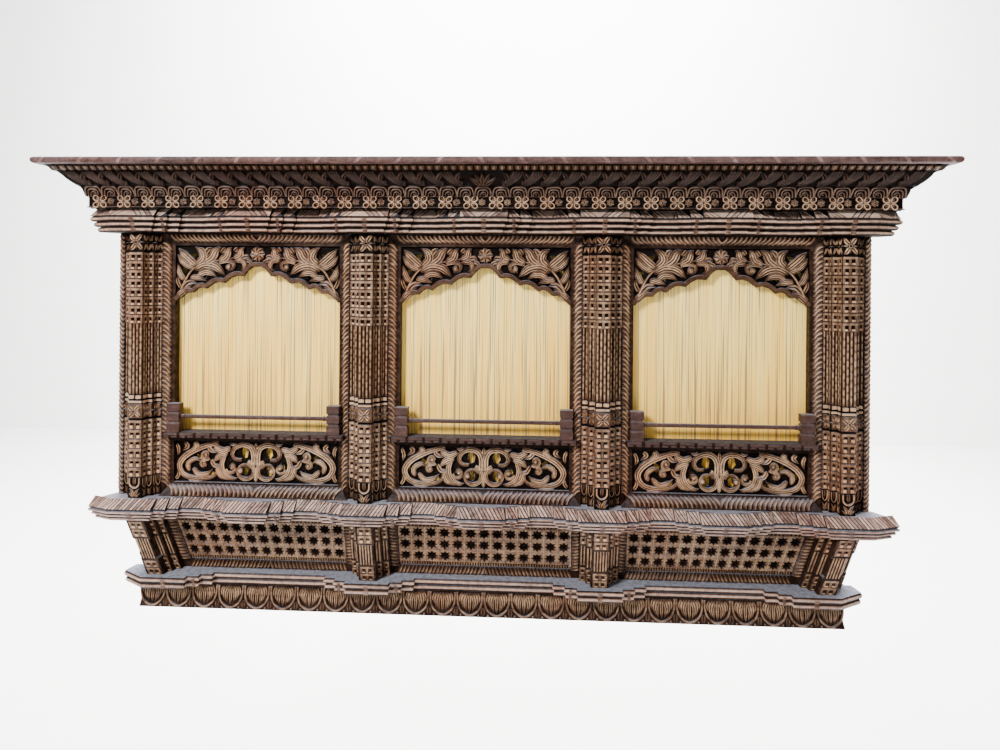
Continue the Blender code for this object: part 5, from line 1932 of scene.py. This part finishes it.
@dataclass
class Apron:
    """Leaning star boards in their carved frames, with the brackets between them."""

    plan: Layout
    nodes: dict[str, Object]
    top_drop: float = 0.062
    lean: float = 0.050
    inset: float = 0.032
    splay: float = 0.022
    splay_drop: float = 0.009
    thickness: float = 0.014
    columns: int = 13
    rows: int = 3
    strip_height: float = 0.0105
    strip_pitch: float = 0.0068
    pit: float = 0.0075
    rope_pitch: float = 0.0100
    eye: Mesh = field(default_factory=drilled_eye)
    cap: float = 0.054
    foot: float = 0.046
    proud: float = 0.004
    shaft_drop: float = 0.005

    def corner(self, number: int, side: float, upper: bool, inset: float, drop: float) -> Vector:
        """Give a corner of the leaning frame.

        Args:
            number: The bay, counted from 1.
            side: -1 for the left side and 1 for the right.
            upper: Whether it is a top corner.
            inset: How far in from the frame's outer edge.
            drop: How far behind the frame's outer edge.

        Returns:
            The corner's place.
        """
        p = self.plan
        height = p.sill_bottom - 2 * self.plan.fit - inset if upper else p.lower_top + inset
        share = (p.sill_bottom - height) / (p.sill_bottom - p.lower_top)
        lean_in = 0.0
        if (number, side) in ((1, -1), (p.bay_count, 1)):
            lean_in = -side * self.inset * share
        y = -(p.wall_depth - self.top_drop - self.lean * share - drop)
        x = p.bay_x[number - 1] + side * (p.bay_half - p.fit - inset) + lean_in
        return Vector((x, y, p.level(height)))

    def star(self) -> Mesh:
        """Carve a unit tile with a star-shaped pit, its points reaching the tile's edges, the pit painted
        darker towards its floor as shade.
        """
        sides = 16
        angles = [math.tau * step / sides for step in range(sides)]
        square, star, bottom = [], [], []
        for step, angle in enumerate(angles):
            across, up = math.cos(angle), math.sin(angle)
            edge = 0.5 / max(abs(across), abs(up))
            reach = 0.47 * (1.10 if step % 4 == 2 else 1.02) if step % 2 == 0 else 0.315
            square.append((across * edge, up * edge))
            star.append((across * reach, up * reach))
            bottom.append((across * reach * 0.42, up * reach * 0.42))
        rows = [[Vector((x, y, -0.08)) for x, y in square], [Vector((x, y, 0.2)) for x, y in square],
                [Vector((x, y, 0.2)) for x, y in star],
                [Vector((x * 0.93, y * 0.93, 0.12)) for x, y in star],
                [Vector((x, y, 0.0)) for x, y in bottom], [Vector((0.0, 0.0, 0.045))] * sides]
        return carved(skin(rows), 0.2, 0.0, 0.76)

    def tile_place(self, corners: Sequence[Vector]) -> Matrix:
        """Give the matrix that lays the unit tile on four corners, given round from the lower left.

        Args:
            corners: The four corners.

        Returns:
            The matrix.
        """
        low_left, low_right, high_right, high_left = corners
        across = ((low_right + high_right) - (low_left + high_left)) / 2
        up = ((high_left + high_right) - (low_left + low_right)) / 2
        out = across.cross(up).normalized() * across.length
        frame = Matrix((across * 0.985, up * 0.965, out)).transposed().to_4x4()
        frame.translation = sum(corners, Vector()) / 4 - out * 0.2
        return frame

    def board(self, number: int, tile: Mesh) -> None:
        """Fill one bay with star tiles over a strip of small upright strokes.

        Args:
            number: The bay, counted from 1.
            tile: The star tile.
        """
        edge = self.splay + self.plan.fit
        face = self.splay_drop + self.plan.fit
        corners, behind = ([self.corner(number, side, upper, edge, drop) for side, upper in CORNERS]
                           for drop in (face, self.splay_drop + self.thickness))
        work = Relief(f"star_board_{number}")
        ground = [Vector((c.x, c.y + self.pit, c.z)) for c in corners]
        # The ground between the tiles is painted near its darkest, as shade.
        work.body(skin([behind, ground]), 0.02)
        share = self.strip_height / (corners[3] - corners[0]).length
        for row in range(self.rows):
            low, high = (share + (1 - share) * line / self.rows for line in (row, row + 1))
            for column in range(self.columns):
                left, right = column / self.columns, (column + 1) / self.columns
                round_it = ((left, low), (right, low), (right, high), (left, high))
                work.add(tile, self.tile_place([spot_on(corners, along, rise) for along, rise in round_it]))
        self.edge_strip(work, corners, share)
        self.ridges(work, corners, share)
        work.finish(CARVED, [f"star_panel_{number}"])

    def edge_strip(self, work: Relief, corners: Sequence[Vector], share: float) -> None:
        """Set small upright strokes side by side along the board's foot.

        Args:
            work: The piece in the making.
            corners: Corners of the board's face, round from the lower left.
            share: The strip's share of the board's height.
        """
        foot = corners[0]
        strip = Panel.between(foot, spot_on(corners, 1.0, 0.0), spot_on(corners, 0.0, share) - foot)
        lower = carved(pad(0.0042, self.strip_height * 0.86, 0.0050, 0.0012), 0.005, 0.1, 0.75)
        let_in = moved(0.0, 0.0, -0.0052)
        for spot in strip.spots(self.strip_pitch):
            work.add(lower, strip.place(spot, self.strip_height * 0.46) @ let_in)

    def ridges(self, work: Relief, corners: Sequence[Vector], share: float) -> None:
        """Set a thin ridge between the columns of stars.

        Args:
            work: The piece in the making.
            corners: Corners of the board's face, round from the lower left.
            share: How far up the board the stars start.
        """
        ridge = carved(pad(0.0016, 1.0, 0.0030, 0.0006), 0.003, 0.4, 0.95)
        across = (corners[1] - corners[0]).normalized() * 0.01
        for column in range(1, self.columns):
            foot, head = (spot_on(corners, column / self.columns, rise) for rise in (share, 1.0))
            upright = Panel.between(foot, foot + across, head - foot)
            bar = upright.place(0.0, upright.height / 2) @ Matrix.Diagonal((1.0, upright.height, 1.0, 1.0))
            work.add(ridge, bar @ moved(0.0, 0.0, -0.0012))

    def frame(self, number: int) -> None:
        """Carve the four sides of one star frame with slanted leaves.

        Args:
            number: The bay, counted from 1.
        """
        outer, inner = ([self.corner(number, side, upper, inset, drop) for side, upper in CORNERS]
                        for inset, drop in ((0.0, 0.0), (self.splay, self.splay_drop)))
        work = Relief(f"star_frame_carving_{number}")
        for i in range(4):
            start, end = outer[i], outer[(i + 1) % 4]
            along = (end - start).normalized()
            shift = inner[i] - start
            rise = shift - along * shift.dot(along)
            panel = Panel.between(start, end, rise)
            half = self.rope_pitch / 2
            line = ((-half, panel.height * 0.06), (-half * 0.1, panel.height * 0.42),
                    (half * 0.9, panel.height * 0.94))
            width = self.rope_pitch * 0.96
            leaf = cut(line, 6, width, 0.0042, Profile.SCALE, Taper.SCROLL, 0.0042, 0.06, 0.8)
            mirror = (Mirror.SECOND_HALF, Mirror.ALL, Mirror.SECOND_HALF, Mirror.NONE)[i]
            lay_rope(work, panel, leaf, self.rope_pitch, self.splay, mirror)
            if i == 0:
                lay_eyes(work, panel, self.eye, self.rope_pitch, self.splay)
        work.finish(CARVED)
        keep(self.nodes, [f"star_frame_{number}"], FLAT_WOOD.material())

    def bracket_faces(self, x: float, outer_side: int) -> list[Panel]:
        """Give the front and step faces of a bracket over its whole leaning height.

        Args:
            x: The bracket's middle.
            outer_side: -1 or 1 at the window's left or right end, else 0.

        Returns:
            The five faces.
        """
        p = self.plan
        low, high = p.lower_top, p.sill_bottom - self.plan.fit
        lean = Vector((outer_side * self.inset, -self.lean, p.level(high) - p.level(low)))
        foot, face = x - outer_side * self.inset, p.wall_depth - self.shaft_drop - self.lean
        return [Panel.level((foot + start, foot + end), face - drop, p.level(low), lean)
                for start, end, drop in p.step_spans]

    def bracket(self, number: int, x: float) -> None:
        """Carve one bracket: bead rows on its cap and its foot, flutes on its shaft.

        Args:
            number: The bracket, counted from 1.
            x: Its middle.
        """
        p = self.plan
        outer_side = -1 if number == 1 else 1 if number == p.bay_count + 1 else 0
        work = Relief(f"bracket_carving_{number}")
        for index, face in enumerate(self.bracket_faces(x, outer_side)):
            wide = index == 0
            beads, flutes = (2, 5) if wide else (1, 2)
            lift = moved(0.0, 0.0, self.proud - 0.0032)
            middle = face.length / 2
            row = bead_row(face.length, beads, self.cap * 0.45)
            for step in range(2):
                work.add(row, face.place(middle, face.height - self.cap * (0.97 - 0.46 * step)) @ lift)
            row = bead_row(face.length, beads, self.foot * 0.47, 0.16)
            for step in range(2):
                work.add(row, face.place(middle, self.foot * (0.02 + 0.48 * step)) @ lift)
            low, high = self.foot + self.proud, face.height - self.cap - self.proud
            line, width = ((0.0, low), (0.0, high)), face.length / flutes * 0.80
            flute = cut(line, 4, width, 0.0036, depth=0.0036, low=0.02, high=0.85)
            for step in range(flutes):
                work.add(flute, face.place((step + 0.5) * face.length / flutes, 0.0))
        work.finish(UPRIGHT)
        keep(self.nodes, [f"bracket_{number}"], FLAT_WOOD.material())

    def build(self) -> None:
        """Make the whole apron."""
        tile = self.star()
        for number in range(1, self.plan.bay_count + 1):
            self.board(number, tile)
            self.frame(number)
        for number, x in enumerate(self.plan.pillar_x, 1):
            self.bracket(number, x)


@dataclass
class LotusBoard:
    """Base board with a row of hanging petals on its flaring face."""

    plan: Layout
    end: float = 0.912
    top_depth: float = 0.067
    flare: float = 0.012
    pitch: float = 0.071
    sunk: float = 0.001

    def petal(self) -> Mesh:
        """Carve a broad hanging petal with a double edge, a rib and a curled leaf each side."""
        work = Relief("lotus_petal")
        height = self.plan.base_top
        width = self.pitch * 0.93
        left = [(-width * 0.50, height * 0.97), (-width * 0.475, height * 0.56),
                (-width * 0.34, height * 0.26)]
        line = [*left, (0.0, height * 0.062), *((-x, y) for x, y in reversed(left))]
        work.add(cut(line, 18, 0.0056, 0.0044, Profile.LINED, depth=0.0044, low=0.0, high=0.72))
        for reach, spread in ((0.80, 0.0), (0.74, 0.32), (0.62, 0.66), (0.42, 1.02)):
            for side in ((-1, 1) if spread else (1,)):
                bow = 0.10 + 0.26 * spread if spread else 0.0
                rib = ((side * width * 0.30 * spread, height * 0.93),
                       (side * width * bow, height * (0.93 - reach * 0.5)),
                       (side * width * 0.33 * spread, height * (0.93 - reach)))
                work.add(cut(rib, 6, 0.0094, 0.0038, Profile.VEINED, Taper.LEAF, 0.0036, 0.0, 0.9))
        return work.mesh()

    def tip(self) -> Mesh:
        """Carve the small leaf and bead that fill the gap between two petals."""
        work = Relief("lotus_tip")
        line = ((0.0, self.plan.base_top * 0.36), (0.0, self.plan.base_top * 0.03))
        work.add(cut(line, 5, 0.0130, 0.0034, Profile.VEINED, Taper.LEAF, 0.004, 0.05, 0.7))
        bead = carved(button(0.0024, 0.0040, 8), 0.005, 0.2)
        for side in (-1, 1):
            work.add(bead, moved(side * 0.0125, 0.0050))
        return work.mesh()

    def ring(self, flare: float, height: float) -> list[Vector]:
        """Give the board's four corners at one height."""
        return plan_corners(self.end + flare, self.top_depth + flare, self.plan.level(height))

    def build(self) -> None:
        """Make the board and its petals."""
        work = Relief("lotus_board")
        low = self.ring(self.flare - self.sunk, 0.0)
        high = self.ring(-self.sunk, self.plan.base_top - self.plan.fit)
        work.body(skin([low, high]), 0.30)
        petal, tip = self.petal(), self.tip()
        for number in range(3):
            side = Panel.between(low[number], low[number + 1], high[number] - low[number])
            if number == 1:
                rise = high[1] - low[1]
                side = Panel.between(low[1], low[2], Vector((0.0, rise.y, rise.z)))
            spots = side.spots(self.pitch)
            gap = side.length / len(spots)
            for spot in spots:
                work.add(petal, side.place(spot, 0.0, 0.0, CHANCE.uniform(0.98, 1.0)))
                if spot + gap / 2 < side.length - 0.01:
                    work.add(tip, side.place(spot + gap / 2, 0.0))
        work.finish(CARVED, ["lotus_base"])


@dataclass(frozen=True)
class Lamp:
    """A soft square light: where it stands, what it faces, its size in metres and its power in watts."""

    name: str
    place: tuple[float, float, float]
    target: tuple[float, float, float]
    size: float
    power: float
    colour: Colour = (1.0, 1.0, 1.0)

    def hang(self) -> None:
        """Put the light into the scene."""
        data: Light = bpy.data.lights.new(self.name, "AREA")
        data.energy = self.power
        data.size = self.size
        data.color = self.colour
        lamp = bpy.data.objects.new(self.name, data)
        lamp.location = self.place
        aim = Vector(self.target) - Vector(self.place)
        lamp.rotation_euler = aim.to_track_quat("-Z", "Y").to_euler()
        bpy.context.scene.collection.objects.link(lamp)


@dataclass(frozen=True)
class Studio:
    """Camera at the photograph's viewing angle, a pale floor and soft lights."""

    place: tuple[float, float, float] = (0.1466, -2.0374, 0.5885)
    lens: float = 27.108
    shift_up: float = -0.0909
    yaw: float = math.radians(3.2)
    roll: float = math.radians(0.5)
    floor_level: float = -1.05
    sheet_size: float = 16.0
    backdrop_y: float = 6.0
    air: float = 0.62
    paper: tuple[Colour, Colour] = ((0.960, 0.960, 0.955), (0.975, 0.975, 0.970))
    lamps: tuple[Lamp, ...] = (
        Lamp("key", (-1.5, -2.7, 2.1), (0.0, -0.1, 0.35), 0.7, 235.0, (1.0, 0.98, 0.95)),
        Lamp("backdrop_light", (0.0, 2.4, 4.2), (0.0, 6.0, 0.6), 6.0, 3300.0),
    )

    def camera(self) -> None:
        """Set up the camera, level, turned by its yaw and rolled a little."""
        data = bpy.data.cameras.new("camera")
        data.sensor_width = 36.0
        data.lens = self.lens
        data.shift_y = self.shift_up
        ahead = Vector((-math.sin(self.yaw), math.cos(self.yaw), 0.0))
        level = Vector((math.cos(self.yaw), math.sin(self.yaw), 0.0))
        upright = Vector((0.0, 0.0, 1.0))
        right = level * math.cos(self.roll) + upright * math.sin(self.roll)
        top = upright * math.cos(self.roll) - level * math.sin(self.roll)
        camera = bpy.data.objects.new("camera", data)
        camera.matrix_world = Matrix((right, top, -ahead)).transposed().to_4x4()
        camera.location = self.place
        bpy.context.scene.collection.objects.link(camera)
        bpy.context.scene.camera = camera

    def sheet(self, name: str, place: Matrix, material: Material) -> None:
        """Set up a large plain sheet that isn't part of the window.

        Args:
            name: Name of the sheet.
            place: The matrix that sets it.
            material: Its finish.
        """
        form = bmesh.new()
        bmesh.ops.create_grid(form, x_segments=1, y_segments=1, size=1.0, matrix=place)
        mesh = settled(form, name)
        mesh.materials.append(material)
        sheet = bpy.data.objects.new(name, mesh)
        bpy.context.scene.collection.objects.link(sheet)

    def surroundings(self) -> None:
        """Lay a pale floor below the window, stand a pale backdrop far behind it and lighten the air."""
        graph = Graph("pale_paper")
        place = graph.node("ShaderNodeTexCoord", {}).outputs["Object"]
        shade = graph.span(graph.noise(place, 1.5, 3.0), 0.3, 0.7)
        colour = graph.blend(shade, *(linear(tone) for tone in self.paper))
        graph.feed(graph.shader.inputs["Base Color"], colour)
        graph.shader.inputs["Roughness"].default_value = 0.9
        stretch = Matrix.Diagonal((self.sheet_size, self.sheet_size, 1.0, 1.0))
        self.sheet("floor", moved(0.0, 0.0, self.floor_level) @ stretch, graph.material)
        behind = moved(0.0, self.backdrop_y) @ Matrix.Rotation(math.pi / 2, 4, "X")
        self.sheet("backdrop", behind @ stretch, graph.material)
        world = bpy.data.worlds.new("surroundings")
        world.use_nodes = True
        sky = world.node_tree.nodes["Background"]
        sky.inputs["Color"].default_value = (1.0, 1.0, 1.0, 1.0)
        sky.inputs["Strength"].default_value = self.air
        bpy.context.scene.world = world

    def build(self) -> None:
        """Set up camera, floor and lights."""
        self.camera()
        self.surroundings()
        for lamp in self.lamps:
            lamp.hang()


FLAT_WOOD = Wood("plain_wood", wear_and_shade=0.34)
LIP_WOOD = Wood("lip_wood", wear_and_shade=0.26, dust_share=0.25)
RAIL_WOOD = Wood("rail_wood", wear_and_shade=0.60, body=(0.24, 0.155, 0.135), worn_highlight=(0.56, 0.45, 0.43))
CARVED = Wood("carved_wood_finish")
UPRIGHT = Wood("pillar_wood", grain=Grain.UPRIGHT)
# Darker copies of the carved wood for the coil and leaf coves: painted shade where these courses face down
# under the rim.
SHADED = Wood("shaded_cornice_wood", body=(0.150, 0.095, 0.070), worn_highlight=(0.430, 0.325, 0.260))
SHADED_COVE = Wood("shaded_cove_wood", body=(0.138, 0.084, 0.061), worn_highlight=(0.340, 0.245, 0.190))
# Lighter copy of the carved wood for the lintel: a painted highlight for light falling on its slope under the
# cornice.
LIT_LINTEL_WOOD = Wood("lit_lintel_wood", body=(0.305, 0.205, 0.155), worn_highlight=(0.800, 0.685, 0.600), dust_share=0.40)
RIM = Wood("rim_wood", body=(0.390, 0.290, 0.280), worn_highlight=(0.800, 0.710, 0.710), dust=(0.72, 0.70, 0.76))
DUSTY = Wood("ledge_wood", body=(0.360, 0.255, 0.205), worn_highlight=(0.790, 0.670, 0.610), dust_share=0.92)


def ledges(plan: Layout) -> list[Ledge]:
    """Give the lintel, the sill and the lower ledge, from the top down.

    Args:
        plan: Sizes of the window.

    Returns:
        The three ledges.
    """
    blocks = sorted(plan.pillar_x + plan.bay_x)
    ends = plan.pillar_x
    inner = [ends[0] + 0.062, *ends[1:-1], ends[-1] - 0.062]
    front, lower_front = 0.177, 0.122
    lintel = Ledge(plan, "lintel_course", "lintel_ledge", blocks, front, plan.lintel_bottom,
                   plan.lintel_slope, plan.flower_bottom, LIT_LINTEL_WOOD, "carved_wood", land_pitch=0.0130,
                   land_lean=0.75, land_foot=0.03, land_group=4)
    sill = Ledge(plan, "sill_course", "sill_ledge", blocks, front, plan.sill_bottom, plan.sill_slope,
                 plan.sill_top, DUSTY, "dusty_wood")
    lower = Ledge(plan, "lower_course", "lower_ledge", inner, lower_front, plan.base_top, plan.lower_top,
                  plan.lower_top, DUSTY, "dusty_wood", key_depth=0.048, horn_out=0.067, horn_back=0.044,
                  horn_depth=0.0468, horn_taper=0.007, root_half=0.938, reeds=2, rake=0.003, roundness=0.006)
    return [lintel, sill, lower]


def main() -> None:
    """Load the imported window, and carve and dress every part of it."""
    logging.basicConfig(level=logging.INFO, format="%(message)s")
    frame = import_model()
    nodes: dict[str, Object] = frame["nodes"]
    plan = Layout()
    Cornice(plan).build()
    for ledge in ledges(plan):
        ledge.build()
    Pillars(plan).build()
    RopeFrames(plan, nodes).build()
    ArchBoards(plan, nodes).build()
    Rails(plan, nodes).build()
    Apron(plan, nodes).build()
    LotusBoard(plan).build()
    keep(nodes, [f"reed_screen_{number}" for number in range(1, plan.bay_count + 1)], ReedFinish().material())
    Studio().build()


if __name__ == "__main__":
    main()
